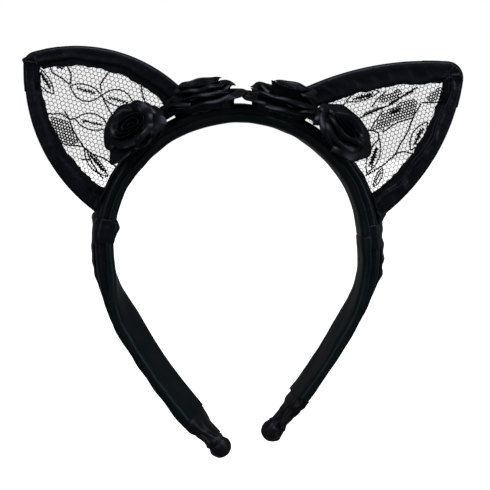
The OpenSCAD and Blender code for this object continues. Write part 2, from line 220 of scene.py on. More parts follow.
# %% Woven satin
def woven_satin(name, dark, light, sheen, rough=0.38, gloss=0.3, crease=0.05):
    """Polyester satin: near black, smooth, with a soft coloured sheen; crease is in mm."""
    made, tree, shader = new_material(name)
    uv = add(tree, "ShaderNodeUVMap", uv_map="UVMap").outputs[0]
    in_mm = add(tree, "ShaderNodeMapping", {"Vector": uv, "Scale": (1000, 1000, 1000)}).outputs[0]
    thread_spacing = 0.35
    threads = add(tree, "ShaderNodeTexWave", {
        "Vector": in_mm, "Scale": math.tau / 20 / thread_spacing, "Distortion": 0.6, "Detail": 1.0,
    }, bands_direction="Y").outputs["Fac"]
    stretched = add(tree, "ShaderNodeMapping", {"Vector": in_mm, "Scale": (0.35, 0.12, 1)}).outputs[0]
    creases = add(tree, "ShaderNodeTexNoise", {
        "Vector": stretched, "Scale": 1.0, "Detail": 4.0, "Roughness": 0.55}).outputs["Fac"]
    patches = add(tree, "ShaderNodeTexNoise", {
        "Vector": in_mm, "Scale": 0.09, "Detail": 3.0}).outputs["Fac"]
    wash = add(tree, "ShaderNodeMapRange", {"Value": patches, "From Min": 0.35, "From Max": 0.65}).outputs[0]
    tone = add(tree, "ShaderNodeMix", {
        0: wash, 6: colour(dark), 7: colour(light)}, data_type="RGBA")  # 6 and 7 are its colours
    tree.links.new(tone.outputs[2], shader.inputs["Base Color"])
    polish = add(tree, "ShaderNodeMapRange", {
        "Value": patches, "From Min": 0.3, "From Max": 0.7, "To Min": rough - 0.05, "To Max": rough + 0.07})
    tree.links.new(polish.outputs[0], shader.inputs["Roughness"])
    fine = add(tree, "ShaderNodeBump", {"Height": threads, "Distance": 0.012 * MM, "Strength": 0.6})
    soft = add(tree, "ShaderNodeBump", {
        "Height": creases, "Distance": crease * 4 * MM, "Strength": 0.8, "Normal": fine.outputs[0]})
    tree.links.new(soft.outputs[0], shader.inputs["Normal"])
    tangent = add(tree, "ShaderNodeTangent", direction_type="UV_MAP", uv_map="UVMap")
    tree.links.new(tangent.outputs[0], shader.inputs["Tangent"])
    shader.inputs["Anisotropic"].default_value = 0.55
    shader.inputs["Specular IOR Level"].default_value = gloss
    shader.inputs["Specular Tint"].default_value = colour(sheen)
    shader.inputs["Sheen Tint"].default_value = colour(sheen)
    shader.inputs["Sheen Weight"].default_value = 0.03
    shader.inputs["Sheen Roughness"].default_value = 0.4
    return made


BAND_SATIN = woven_satin("polyester_satin_band_cover", "#081114", "#15161b", "#c0d6e0", crease=0.07)
LINING_SATIN = woven_satin(
    "polyester_satin_lining", "#081617", "#19181f", "#b8d6da", rough=0.42, gloss=0.4, crease=0.08)
BINDING_SATIN = woven_satin(
    "satin_ribbon_binding", "#0b0c12", "#14161e", "#ced6ee", rough=0.36, gloss=0.35, crease=0.1)
ROSE_SATIN = woven_satin(
    "satin_ribbon_roses", "#090a0e", "#12141b", "#ced8ee", rough=0.34, gloss=0.34, crease=0.07)
SOCK_SATIN = woven_satin(
    "gathered_satin_tip", "#0f0f14", "#1a1a21", "#d0d2e6", rough=0.4, gloss=0.4, crease=0.08)
print("satins ready")

# %% [markdown]
# The sprung strip is injection-moulded plastic, smooth with a faint orange peel. The frame wire is
# drawn steel: fine grooves along it, so a slightly rough metal. The glue is clear hot melt: it
# sets glossy and a little cloudy, and pulls out into hair-thin strings.


# %% Plastic, steel and glue
def moulded_plastic(name):
    made, tree, shader = new_material(name)
    place = add(tree, "ShaderNodeTexCoord").outputs["Object"]
    peel = add(tree, "ShaderNodeTexNoise", {"Vector": place, "Scale": 900.0, "Detail": 2.0}).outputs["Fac"]
    skin = add(tree, "ShaderNodeBump", {"Height": peel, "Distance": 0.01 * MM})
    shade = add(tree, "ShaderNodeMix", {
        0: peel, 6: colour("#101010"), 7: colour("#1a1a1a")}, data_type="RGBA")
    tree.links.new(shade.outputs[2], shader.inputs["Base Color"])
    tree.links.new(skin.outputs[0], shader.inputs["Normal"])
    shader.inputs["Roughness"].default_value = 0.45
    shader.inputs["IOR"].default_value = 1.49
    return made


def drawn_steel(name):
    made, tree, shader = new_material(name)
    uv = add(tree, "ShaderNodeUVMap", uv_map="UVMap").outputs[0]
    grooves = add(tree, "ShaderNodeMapping", {"Vector": uv, "Scale": (300, 9000, 1)}).outputs[0]
    lines = add(tree, "ShaderNodeTexNoise", {"Vector": grooves, "Scale": 1.0}).outputs["Fac"]
    rough = add(tree, "ShaderNodeMapRange", {"Value": lines, "To Min": 0.25, "To Max": 0.45}).outputs[0]
    tree.links.new(rough, shader.inputs["Roughness"])
    shader.inputs["Base Color"].default_value = colour("#a8a9ab")
    shader.inputs["Metallic"].default_value = 1.0
    return made


def hot_melt(name):
    made, tree, shader = new_material(name)
    place = add(tree, "ShaderNodeTexCoord").outputs["Object"]
    cloud = add(tree, "ShaderNodeTexNoise", {"Vector": place, "Scale": 600.0, "Detail": 3.0}).outputs["Fac"]
    rough = add(tree, "ShaderNodeMapRange", {"Value": cloud, "To Min": 0.06, "To Max": 0.22}).outputs[0]
    lumps = add(tree, "ShaderNodeBump", {"Height": cloud, "Distance": 0.15 * MM, "Strength": 0.7})
    tree.links.new(rough, shader.inputs["Roughness"])
    tree.links.new(lumps.outputs[0], shader.inputs["Normal"])
    shader.inputs["Base Color"].default_value = colour("#d8d8d2")
    shader.inputs["Transmission Weight"].default_value = 0.85
    shader.inputs["IOR"].default_value = 1.48
    return made


STRIP_PLASTIC = moulded_plastic("moulded_black_strip")
WIRE_STEEL = drawn_steel("drawn_steel_wire")
GLUE = hot_melt("clear_hot_melt_glue")

# %% [markdown]
# Lace is thread, not film. The heavy outlines are a gimp cord, the rest is a hexagonal net.
# The ground sheet carries only the finest cross threads: it is nearly clear, and a weave pattern
# in its opacity keeps it from being an even film.


# %% Lace threads
def lace_thread(name, value, rough):
    made, tree, shader = new_material(name)
    place = add(tree, "ShaderNodeTexCoord").outputs["Object"]
    fuzz = add(tree, "ShaderNodeTexNoise", {"Vector": place, "Scale": 2500.0, "Detail": 2.0}).outputs["Fac"]
    twist = add(tree, "ShaderNodeBump", {"Height": fuzz, "Distance": 0.05 * MM})
    shade = add(tree, "ShaderNodeMix", {
        0: fuzz, 6: colour(value), 7: colour("#1b1b20")}, data_type="RGBA")
    tree.links.new(shade.outputs[2], shader.inputs["Base Color"])
    tree.links.new(twist.outputs[0], shader.inputs["Normal"])
    shader.inputs["Roughness"].default_value = rough
    shader.inputs["Specular IOR Level"].default_value = 0.2
    return made


def lace_film(name, thin, dense):
    made, tree, shader = new_material(name)
    place = add(tree, "ShaderNodeTexCoord").outputs["Object"]
    in_mm = add(tree, "ShaderNodeMapping", {"Vector": place, "Scale": (1000, 1000, 1000)}).outputs[0]
    cell = 0.9
    holes = add(tree, "ShaderNodeTexVoronoi", {
        "Vector": in_mm, "Scale": 1 / cell, "Randomness": 0.3},
        feature="DISTANCE_TO_EDGE").outputs["Distance"]
    cover = add(tree, "ShaderNodeMapRange", {
        "Value": holes, "From Min": 0.04, "From Max": 0.16, "To Min": dense, "To Max": thin}).outputs[0]
    tree.links.new(cover, shader.inputs["Alpha"])
    shader.inputs["Base Color"].default_value = colour("#17171b")
    shader.inputs["Roughness"].default_value = 0.8
    shader.inputs["Specular IOR Level"].default_value = 0.1
    return made


NET_THREAD = lace_thread("lace_net_thread", "#0b0b0e", 0.7)
GIMP_CORD = lace_thread("lace_gimp_cord", "#060608", 0.65)
LACE_FILM = lace_film("lace_ground_fine_threads", 0.04, 0.32)

# %% [markdown]
# ## Camera, floor and light
# The object stands as it is worn, seen from the front and a little from its left. The floor and
# the surround are pale, and large soft lamps keep the shadows open.

# %% Camera
camera_turn, camera_rise = math.radians(-6.0), math.radians(4.5)
camera_target = Vector((3.3, 0, 0.55)) * MM
camera_back = Vector((math.sin(camera_turn) * math.cos(camera_rise),
                      -math.cos(camera_turn) * math.cos(camera_rise), math.sin(camera_rise)))
lens = bpy.data.cameras.new("camera")
lens.sensor_width = 36
lens.lens = 117.9
lens.clip_start = 0.01
camera = bpy.data.objects.new("camera", lens)
camera.location = camera_target + camera_back * 0.7
camera.rotation_euler = (-camera_back).to_track_quat("-Z", "Y").to_euler()
bpy.context.scene.collection.objects.link(camera)
bpy.context.scene.camera = camera

# %% Floor, surround and lamps
FLOOR_Z = -120.0
floor_paper, floor_tree, floor_shader = new_material("pale_floor_paper")
floor_place = add(floor_tree, "ShaderNodeTexCoord").outputs["Object"]
floor_grain = add(floor_tree, "ShaderNodeTexNoise", {"Vector": floor_place, "Scale": 400.0}).outputs["Fac"]
floor_tint = add(floor_tree, "ShaderNodeMix", {
    0: floor_grain, 6: colour("#f6f6f6"), 7: colour("#fbfbfb")}, data_type="RGBA")
floor_tree.links.new(floor_tint.outputs[2], floor_shader.inputs["Base Color"])
floor_shader.inputs["Roughness"].default_value = 0.9
floor_shader.inputs["Specular IOR Level"].default_value = 0.1
floor_shader.inputs["Emission Color"].default_value = colour("#ffffff")
floor_shader.inputs["Emission Strength"].default_value = 1.3
reach = 6000.0
floor = piece("floor", [(-reach, -reach, FLOOR_Z), (reach, -reach, FLOOR_Z),
                        (reach, reach, FLOOR_Z), (-reach, reach, FLOOR_Z)], [(0, 1, 2, 3)], floor_paper)
floor.visible_glossy = floor.visible_diffuse = False

world = bpy.data.worlds.new("pale_surround")
world.use_nodes = True
sky = world.node_tree
seen = add(sky, "ShaderNodeLightPath").outputs["Is Camera Ray"]
glow = add(sky, "ShaderNodeMapRange", {"Value": seen, "To Min": 0.1, "To Max": 1.0}).outputs[0]
sky.links.new(glow, sky.nodes["Background"].inputs["Strength"])
sky.nodes["Background"].inputs["Color"].default_value = (1, 1, 1, 1)
bpy.context.scene.world = world
bpy.context.scene.view_settings.view_transform = "Standard"


def soft_lamp(name, place, aim, size, power):
    data = bpy.data.lights.new(name, "AREA")
    data.shape = "DISK"
    data.size = size
    data.energy = power
    lamp = bpy.data.objects.new(name, data)
    lamp.location = Vector(place)
    lamp.rotation_euler = (Vector(aim) - Vector(place)).to_track_quat("-Z", "Y").to_euler()
    bpy.context.scene.collection.objects.link(lamp)
    return lamp


soft_lamp("top_lamp", (0.1, -0.35, 0.9), (0, 0, 0.05), 0.5, 2.8)
soft_lamp("right_lamp", (0.8, -0.5, 0.25), (0, 0, 0), 0.4, 1.2)
soft_lamp("left_lamp", (-0.7, -0.7, 0.35), (0, 0, 0), 0.4, 1.1)
print("camera at", [round(v, 4) for v in camera.location])

# %% [markdown]
# ## The band
# The covered strip follows one path: a half circle, then two gently curved legs. Each leg also
# turns a little about its own length, so its inner face comes round to the front. The same few
# functions place the strip, the foam, the cover and the lining, so the layers always nest.


# %% The band's path
def thick_at(s):
    return mix(ARCH_T, LEG_T, ease(np.asarray(s, float) / 28))


def leg_total(side):
    return UPPER_LENGTH + LEG_LENGTH[side]


def leg_place(side, s, n, w):
    """Points at length s from the flex pivot, n outwards from mid-thickness and w to the back."""
    s, n, w = np.broadcast_arrays(*(np.asarray(v, float) for v in (s, n, w)))
    lead = math.radians(LEAD_ANGLE)
    on_arch = math.radians(PIVOT_ANGLE) + s / ARCH_MID
    below = lead + (s - UPPER_LENGTH) / LEG_CURVE
    turn = np.where(s <= UPPER_LENGTH, on_arch, below)
    x = np.where(s <= UPPER_LENGTH, ARCH_MID * np.cos(on_arch),
                 ARCH_MID * math.cos(lead) - LEG_CURVE * (math.cos(lead) - np.cos(below)))
    z = np.where(s <= UPPER_LENGTH, -ARCH_MID * np.sin(on_arch),
                 -ARCH_MID * math.sin(lead) - LEG_CURVE * (np.sin(below) - math.sin(lead)))
    degrees, reach = TWIST[side]
    twist = math.radians(degrees) * ease(s / reach)
    off = LEG_OUT[side] * ease((s + 12) / 15)
    x, z = x + off * np.cos(turn), z - off * np.sin(turn)
    nn = n * np.cos(twist) - w * np.sin(twist)
    ww = n * np.sin(twist) + w * np.cos(twist)
    return np.stack([SIDES[side] * (x + nn * np.cos(turn)), ww, z - nn * np.sin(turn)], -1)


def arch_place(angle, n, w):
    """Points at an angle in degrees from +X, n outwards from mid-thickness and w to the back."""
    angle, n, w = np.broadcast_arrays(*(np.asarray(v, float) for v in (np.radians(angle), n, w)))
    r = ARCH_MID + n
    return np.stack([r * np.cos(angle), w, r * np.sin(angle)], -1)


# %% [markdown]
# Foam pulls the satin into a crowned shape: flat faces with round corners. A superellipse gives
# that section. A flat layer such as the lining is a stretch of the same outline, lifted off it.


# %% The band's sections
def outline(thick, wide, count=44, power=3.2):
    """The covered band's outline as n and w, from the middle of its inner face round the front."""
    a = np.linspace(0, math.tau, count, endpoint=False)
    power = np.where(np.cos(a) > 0, power * 2, power)
    n = -np.sign(np.cos(a)) * np.abs(np.cos(a)) ** (2 / power) * thick / 2
    w = -np.sign(np.sin(a)) * np.abs(np.sin(a)) ** (2 / power) * wide / 2
    return n, w


def outline_stretch(thick, wide, back, front, lift, count=24):
    """Part of the outline, from back mm behind the middle of the inner face to front mm before it."""
    n, w = outline(thick, wide, 400)
    n, w = np.append(n, n[0]), np.append(w, w[0])
    length = np.concatenate([[0], np.cumsum(np.hypot(np.diff(n), np.diff(w)))])
    total = length[-1]
    stops = np.linspace(-back, front, count)
    at = np.mod(stops, total)
    nn, ww = np.interp(at, length, n), np.interp(at, length, w)
    ahead, behind = np.mod(stops + 0.3, total), np.mod(stops - 0.3, total)
    dn = np.interp(ahead, length, n) - np.interp(behind, length, n)
    dw = np.interp(ahead, length, w) - np.interp(behind, length, w)
    size = np.hypot(dn, dw)
    return nn + lift * dw / size, ww - lift * dn / size


# %% [markdown]
# The cover is one satin tube on the real headband. Here it is cut where the side wraps hide the
# cut: one piece on the arch and one on each leg, and each leg's piece runs across its flex
# pivot. Foam and satin are one padded piece, puffed a little by the tension of the sewing.

# %% Satin cover
arch_angles = np.arange(SEAM_ANGLE - 1, 180 - SEAM_ANGLE + 1.01, 1.5)


def cover_rows(place, stops, thickness, seed):
    rows = []
    for stop, thick in zip(stops, thickness):
        n, w = outline(thick, BAND_W)
        base = place(stop, n, w)
        puff = 1 + 0.035 * waver(seed, 30, base[:, 0], base[:, 1], base[:, 2])
        puff += 0.02 * waver(seed + 1, 7, base[:, 0], base[:, 1] * 0.4, base[:, 2])
        rows.append(place(stop, n * puff, w * (1 + (puff - 1) * 0.4)))
    return rows


cover_arch = sew("satin_cover_arch", cover_rows(arch_place, arch_angles, [ARCH_T] * len(arch_angles), 3),
                 BAND_SATIN, around=True, caps=True)
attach(cover_arch, "band")
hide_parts("cover_arch", "pad_arch")

pivots = {j["child"]: [v / MM for v in j["pos_m"]] for j in frame["joints"]}
seam_s = -math.radians(PIVOT_ANGLE + SEAM_ANGLE) * ARCH_MID


def bend_at_pivot(obj, side):
    """Bakes the piece's placement into its mesh; nothing here bends it at the flex pivot."""
    x, y, z = pivots["leg_" + side]
    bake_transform(obj)


for side in SIDES:
    stops = np.arange(seam_s, leg_total(side) - SOCK_LENGTH + 3, 1.3)
    rows = cover_rows(lambda s, n, w: leg_place(side, s, n, w), stops, thick_at(stops), 5 + SIDES[side])
    cover = sew("satin_cover_leg_" + side, rows, BAND_SATIN, around=True, caps=True)
    bend_at_pivot(cover, side)
    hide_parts("cover_leg_" + side, "pad_leg_" + side)
    print("cover", side, len(stops), "rows")

# %% [markdown]
# The lining closes the cover on the inner face. Its front edge is turned under and glued about
# 2 mm up the front face, which leaves a soft fold that catches the light all along the band.

# %% Lining
FOLD_REACH = 2.2


def lining_rows(place, stops, thickness, seed):
    rows = []
    for stop, thick in zip(stops, thickness):
        front = BAND_W / 2 + FOLD_REACH + 0.25 * waver(seed, 14, float(stop), 0.0)
        loose = 0.38 + 0.3 * (1 + waver(seed + 5, 45, float(stop), 0.0))
        n, w = outline_stretch(thick, BAND_W, BAND_W / 2 + 0.8, front, loose)
        share = np.linspace(0, 1, len(n))
        roll = (0.22 * np.exp(-((share - 0.97) / 0.05) ** 2)
                + 0.12 * waver(seed + 2, 9, share * 18, float(stop) * 0.7))
        rows.append(place(stop, n - roll * (np.abs(w) < BAND_W / 2 - 0.5), w - roll * (share > 0.85)))
    return rows


def declare_ribbon(obj, width, length, held, rests_on, **more):
    print(obj.name, "cut", round(width, 1), "by", round(length, 1), "mm")


lining_wide = BAND_W + 0.8 + FOLD_REACH
arch_lining = sew("satin_lining_arch", lining_rows(arch_place, arch_angles, [ARCH_T] * len(arch_angles), 11),
                  LINING_SATIN, thick=0.3)
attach(arch_lining, "band")
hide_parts("lining_arch")
declare_ribbon(arch_lining, lining_wide, math.radians(arch_angles[-1] - arch_angles[0]) * ARCH_R, "stretched",
               cover_arch)
for side in SIDES:
    stops = np.arange(seam_s, leg_total(side) - SOCK_LENGTH + 3, 1.3)
    rows = lining_rows(lambda s, n, w: leg_place(side, s, n, w), stops, thick_at(stops), 13 + SIDES[side])
    lining = sew("satin_lining_leg_" + side, rows, LINING_SATIN, thick=0.3)
    bend_at_pivot(lining, side)
    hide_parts("lining_leg_" + side)
    declare_ribbon(lining, lining_wide, stops[-1] - stops[0], "stretched", "satin_cover_leg_" + side)

# %% [markdown]
# Inside runs the sprung strip, a flat plastic bow 11 mm wide and 2 mm thick. It is hidden, but an
# exploded view or an open leg would show it, so it has its own mesh and follows the cover's path.

# %% Sprung strip
CORE_W, CORE_T, CORE_IN = 11.0, 2.0, 0.7


def strip_section(thick):
    n, w = outline(CORE_T, CORE_W, 24, 6.0)
    return n - thick / 2 + CORE_IN + CORE_T / 2, w


rows = [arch_place(a, *strip_section(ARCH_T)) for a in arch_angles]
strip = sew("sprung_strip_arch", rows, STRIP_PLASTIC, around=True, caps=True)
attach(strip, "band")
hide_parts("core_arch")
for side in SIDES:
    stops = np.arange(seam_s, leg_total(side) - 3, 2.0)
    rows = [leg_place(side, s, *strip_section(float(thick_at(s)))) for s in stops]
    strip = sew("sprung_strip_leg_" + side, rows, STRIP_PLASTIC, around=True, caps=True)
    bend_at_pivot(strip, side)
    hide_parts("core_leg_" + side)

# %% [markdown]
# ## The ears
# Each ear is a loop of wire bound in ribbon. Seen flat, its upper and outer edges are two arcs
# that meet in a rounded tip. All points are worked out for a right-hand ear and mirrored for the
# left one, and the two ears differ a little because they were bent by hand.


# %% Arcs of the ears
EARS = {
    "left": {"upper_foot": (16.5, 59.9), "tip": (91.0, 82.7), "outer_foot": (60.5, 14.2),
             "upper_r": 65.0, "outer_r": 74.0, "width": 8.0, "round": 5.0},
    "right": {"upper_foot": (14.2, 60.5), "tip": (100.9, 79.7), "outer_foot": (61.3, 10.0),
              "upper_r": 132.0, "outer_r": 91.0, "width": 9.5, "round": 7.0},
}


def arc_centre(p, q, r):
    p, q = np.array(p), np.array(q)
    way = q - p
    half = np.linalg.norm(way) / 2
    return (p + q) / 2 + np.array([way[1], -way[0]]) / (2 * half) * math.sqrt(r * r - half * half)


def circles_meet(c1, r1, c2, r2, side):
    way = c2 - c1
    gap = np.linalg.norm(way)
    along = (r1 * r1 - r2 * r2 + gap * gap) / (2 * gap)
    off = math.sqrt(max(r1 * r1 - along * along, 0.0))
    way = way / gap
    return c1 + along * way + side * off * np.array([-way[1], way[0]])


def angle_of(v):
    return math.atan2(v[1], v[0])


for ear in EARS.values():
    ear["upper_c"] = arc_centre(ear["upper_foot"], ear["tip"], ear["upper_r"])
    ear["outer_c"] = arc_centre(ear["tip"], ear["outer_foot"], ear["outer_r"])

ORIGIN = np.zeros(2)
FOOT_R = 60.8


def corner_at(ear, inset):
    return circles_meet(ear["upper_c"], ear["upper_r"] - inset, ear["outer_c"], ear["outer_r"] - inset, -1)


def edge_point(ear, strip, w, t, foot_r=FOOT_R, past=0.0):
    """Point w inside the ear's edge: t from 0 at the foot to 1, then on to 2 round the tip."""
    small = max(0.3, ear["round"] - w)
    bend = corner_at(ear, w + small)
    c, r = ear[strip + "_c"], ear[strip + "_r"] - w
    foot = circles_meet(ORIGIN, foot_r, c, r, 1 if strip == "upper" else -1)
    a0, a1 = angle_of(foot - c), angle_of(bend - c)
    if t <= 1:
        a = mix(a0, a1, t)
        return c + r * np.array([math.cos(a), math.sin(a)])
    other = angle_of(bend - ear[("outer" if strip == "upper" else "upper") + "_c"])
    a = mix(a1, (a1 + other) / 2, t - 1 + past)
    return bend + small * np.array([math.cos(a), math.sin(a)])


def ear_point(side, flat, depth):
    """A point of the ear's plane, depth mm before it, as x, y, z."""
    return np.array([SIDES[side] * flat[0], EAR_Y - depth, flat[1]])


# %% [markdown]
# A wired ear is sewn to the band along its whole foot, so it doesn't turn like a door: its lower
# part stays with the band and the wire bends above it. Here every piece of an ear only has its
# placement baked into its mesh, and no bend is made.


# %% Ear pieces baked in place
def bend_at_ear(obj):
    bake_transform(obj)


# %% [markdown]
# The binding is satin ribbon folded lengthwise over the wire. Its front layer is wider than it
# needs to be: it is folded back on itself and stands up in a flap with a soft ridge, and inside
# the ridge a lower lip runs to the lace. The section below gives the depth across the ribbon,
# and hand sewing shifts the ridge and puckers the lip.

# %% Ribbon bindings
# Width at the foot and at the tip, where the ridge lies as a share of it, and the ridge's height.
BINDINGS = {
    ("left", "upper"): (10.2, 8.0, 0.62, 0.9),
    ("left", "outer"): (10.6, 6.6, 0.58, 0.8),
    ("right", "upper"): (10.4, 9.8, 0.9, 0.3),
    ("right", "outer"): (11.0, 8.4, 0.6, 1.1),
}
RIBBON_THICK = 0.28
FRONT_STOPS = [1.0, 0.95, 0.88, 0.8, 0.73, 0.68, 0.63, 0.58, 0.52, 0.44, 0.35, 0.25, 0.16, 0.09, 0.04, 0.012]
BACK_STOPS = [0.012, 0.04, 0.1, 0.18, 0.28, 0.4, 0.52, 0.64, 0.76, 0.88, 1.0]


def binding_depth(f, ridge, height, front):
    """Depth of a layer at share f across the ribbon, from the fold over the wire to the inner edge."""
    wire = 0.55 * math.exp(-((f - 0.2) / 0.13) ** 2)
    fold = min(1.0, (f / 0.07) ** 0.5)
    body = 1.0 - 0.35 * ease((f - 0.3) / 0.5)
    if not front:
        return fold * (body + wire * 0.8) * (1 - 0.45 * ease((f - 0.5) / 0.5))
    step = height * (1 - ease((f - ridge) / 0.07)) * ease((f - ridge + 0.3) / 0.28)
    lip = 0.55 * ease((f - ridge) / 0.12)
    return fold * (body + wire + step - lip)


def binding_grid(side, strip):
    ear = EARS[side]
    foot_w, tip_w, ridge0, height = BINDINGS[side, strip]
    seed = 40 + 7 * SIDES[side] + (3 if strip == "upper" else 0)
    rows = []
    ts = np.concatenate([np.linspace(0, 0.97, 84), np.linspace(1.0, 2.0, 9)])
    for t in ts:
        long_t = min(t, 1.0)
        mm = long_t * 75
        width = mix(foot_w, tip_w, long_t) + 0.35 * waver(seed, 16, mm)
        ridge = ridge0 + 0.06 * waver(seed + 1, 28, mm)
        tall = height * (0.85 + 0.35 * waver(seed + 2, 22, mm))
        row = []
        for front, stops in ((True, FRONT_STOPS), (False, BACK_STOPS)):
            for f in stops:
                wobble = 0.22 * waver(seed + 3, 5, mm) * f ** 3
                at = edge_point(ear, strip, max(0.0, f * width + wobble), t, past=0.04 if t > 1.9 else 0)
                depth = binding_depth(f, ridge, tall, front)
                pucker = 0.13 * waver(seed + 4, 4, mm, f * 5) + 0.12 * waver(seed + 5, 11, mm, f * 12)
                depth += pucker * min(1, f * 5) * (1 if front else 0.6)
                row.append(ear_point(side, at, depth if front else -depth))
        rows.append(row)
    return np.array(rows), (foot_w + tip_w) / 2


for side in SIDES:
    for strip in ("upper", "outer"):
        grid, mean_width = binding_grid(side, strip)
        binding = sew(f"ribbon_binding_{strip}_{side}", grid, BINDING_SATIN,
                      flip=(side == "left"), thick=RIBBON_THICK)
        bend_at_ear(binding)
        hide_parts(f"ear_binding_{strip}_{side}")
        length = np.linalg.norm(np.diff(grid[:, 15], axis=0), axis=1).sum()
        declare_ribbon(binding, 2.15 * mean_width, length, "folded", f"ear_lace_{side}")

# %% [markdown]
# The corner of each tip is a separate turn of the ribbon's end, pulled over the join of the two
# bindings. On the left ear it is pushed out to a square corner. On the right ear its inner edge
# is rolled up.


# %% Folded tips
FOLD_WIDTH = {"left": 5.6, "right": 7.8}
FOLD_ROLL = {"left": 0.5, "right": 1.1}
CORNER_OUT = {"left": 1.0, "right": 0.0}
FOLD_DEPTH = 1.75


def tip_fold_grid(side):
    ear = EARS[side]
    around = ([("upper", t) for t in np.linspace(0.86, 1.95, 18)]
              + [("outer", t) for t in np.linspace(1.95, 0.84, 18)])
    rows = []
    for k, (strip, t) in enumerate(around):
        share = k / (len(around) - 1)
        peak = CORNER_OUT[side] * math.exp(-((share - 0.77) / 0.13) ** 2)
        sink = ease(min(share, 1 - share) / 0.12)
        wide = FOLD_WIDTH[side] + 1.0 * math.sin(share * math.pi) + 0.5 * waver(55, 9, share * 40)
        row = []
        for f in np.linspace(1, 0, 14):
            roll = FOLD_ROLL[side] * math.exp(-((f - 0.84) / 0.12) ** 2)
            crease = 0.35 * waver(56 + SIDES[side], 5, share * 34 + f * 3, f * 6)
            depth = (FOLD_DEPTH + roll + crease) * min(1.0, (f / 0.12) ** 0.5 + 0.05)
            depth -= 0.5 * ease((f - 0.9) / 0.1)
            at = edge_point(ear, strip, f * (wide + peak) - peak, t)
            row.append(ear_point(side, at, mix(0.7, depth, sink)))
        for f in np.linspace(0.1, 0.7, 6):
            at = edge_point(ear, strip, f * wide - peak * (1 - f), t)
            row.append(ear_point(side, at, mix(-0.5, -1.7, sink) * min(1, f * 5)))
        rows.append(row)
    return np.array(rows)


for side in SIDES:
    fold = sew("ribbon_tip_fold_" + side, tip_fold_grid(side), BINDING_SATIN,
               flip=(side == "left"), thick=RIBBON_THICK)
    bend_at_ear(fold)
    face_area = sum(p.area for p in fold.data.polygons) / 2 / MM / MM
    declare_ribbon(fold, 20.0, round(face_area / 20), "folded", f"ribbon_binding_upper_{side}")

# %% [markdown]
# The wire lies in the fold, 2.4 mm inside the edge, and shows only at a worn spot or in an
# exploded view. It follows both arcs and bends round the tip.

# %% Frame wires
WIRE_IN, WIRE_R = 2.4, 0.6


def tube(name, path, radius, material, around=8):
    """A round tube along points in mm; radius is one number or one for each point."""
    path = np.asarray(path, float)
    radius = np.broadcast_to(np.asarray(radius, float), len(path))
    ahead = np.gradient(path, axis=0)
    ahead /= np.maximum(np.linalg.norm(ahead, axis=1), 1e-9)[:, None]
    up = np.array([0.0, 1.0, 0.0])
    rows = []
    for p, d, r in zip(path, ahead, radius):
        across = np.cross(d, up if abs(d @ up) < 0.95 else np.array([1.0, 0, 0]))
        across /= np.linalg.norm(across)
        other = np.cross(across, d)
        a = np.linspace(0, math.tau, around, endpoint=False)
        rows.append(p + r * (np.cos(a)[:, None] * across + np.sin(a)[:, None] * other))
    return sew(name, rows, material, around=True, caps=True)


for side in SIDES:
    ear = EARS[side]
    upper = [edge_point(ear, "upper", WIRE_IN, t, 63.4) for t in np.linspace(0, 1, 40)]
    tip = [edge_point(ear, "upper", WIRE_IN, t) for t in np.linspace(1.1, 2, 7)]
    tip += [edge_point(ear, "outer", WIRE_IN, t) for t in np.linspace(1.9, 1.1, 6)]
    outer = [edge_point(ear, "outer", WIRE_IN, t, 63.4) for t in np.linspace(1, 0, 40)]
    wire = tube("frame_wire_" + side, [ear_point(side, p, 0) for p in upper + tip + outer],
                WIRE_R, WIRE_STEEL)
    bend_at_ear(wire)
    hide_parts("ear_wire_" + side)
print("ears bound")

# %% [markdown]
# ## Lace
# The lace is cut to the window and caught in the binding. Three kinds of thread make it: a fine
# hexagonal net, denser net inside some flowers, and a gimp cord that draws stems and leaves.
# The cut piece is first laid out as a flat sheet of triangles with its edge under the binding.


# %% Cut piece of lace
def inside(polygon, points):
    """Whether each point is inside the polygon, by counting the edges to its right."""
    polygon, points = np.asarray(polygon), np.asarray(points)
    hits = np.zeros(len(points), bool)
    for a, b in zip(polygon, np.roll(polygon, -1, axis=0)):
        spans = (a[1] > points[:, 1]) != (b[1] > points[:, 1])
        with np.errstate(divide="ignore", invalid="ignore"):
            cross = a[0] + (points[:, 1] - a[1]) * (b[0] - a[0]) / (b[1] - a[1])
        hits ^= spans & (points[:, 0] < cross)
    return hits


def window(ear, inset, base_r):
    """The ear's inner shape, inset mm from its edge and base_r mm from the arch's centre."""
    upper = [edge_point(ear, "upper", inset, t, base_r) for t in np.linspace(0, 1, 30)]
    outer = [edge_point(ear, "outer", inset, t, base_r) for t in np.linspace(1, 0, 30)][1:]
    a0, a1 = angle_of(outer[-1]), angle_of(upper[0])
    base = [base_r * np.array([math.cos(a), math.sin(a)]) for a in np.linspace(a0, a1, 30)[1:-1]]
    return np.array(upper + outer + base)


def lattice(polygon, cell, tilt=0.0, seed=0, loose=0.06):
    """Even triangles that fill the polygon: the points where the net's cells have their middles."""
    low, high = polygon.min(0) - cell, polygon.max(0) + cell
    middle, reach = (low + high) / 2, np.linalg.norm(high - low) / 2 + cell
    steps = np.arange(-int(reach / cell) - 1, int(reach / cell) + 2)
    i, j = np.meshgrid(steps, steps)
    flat = np.stack([(i + 0.5 * (j % 2)) * cell, j * cell * math.sqrt(3) / 2], -1).reshape(-1, 2)
    c, s = math.cos(tilt), math.sin(tilt)
    flat = flat @ np.array([[c, s], [-s, c]]) + middle
    draw = np.random.default_rng(seed)
    flat += draw.normal(scale=loose * cell, size=flat.shape)
    return flat[inside(polygon, flat)]


def triangles(points, outer=None):
    """Delaunay triangles of flat points, kept inside the outline when one is given."""
    given = [Vector(p) for p in points]
    rim = [list(range(len(outer)))] if outer is not None else []
    if outer is not None:
        given = [Vector(p) for p in outer] + given
    result = geometry.delaunay_2d_cdt(given, [], rim, 1 if rim else 0, 1e-5)
    return np.array([tuple(v) for v in result[0]]), [list(f) for f in result[2]]


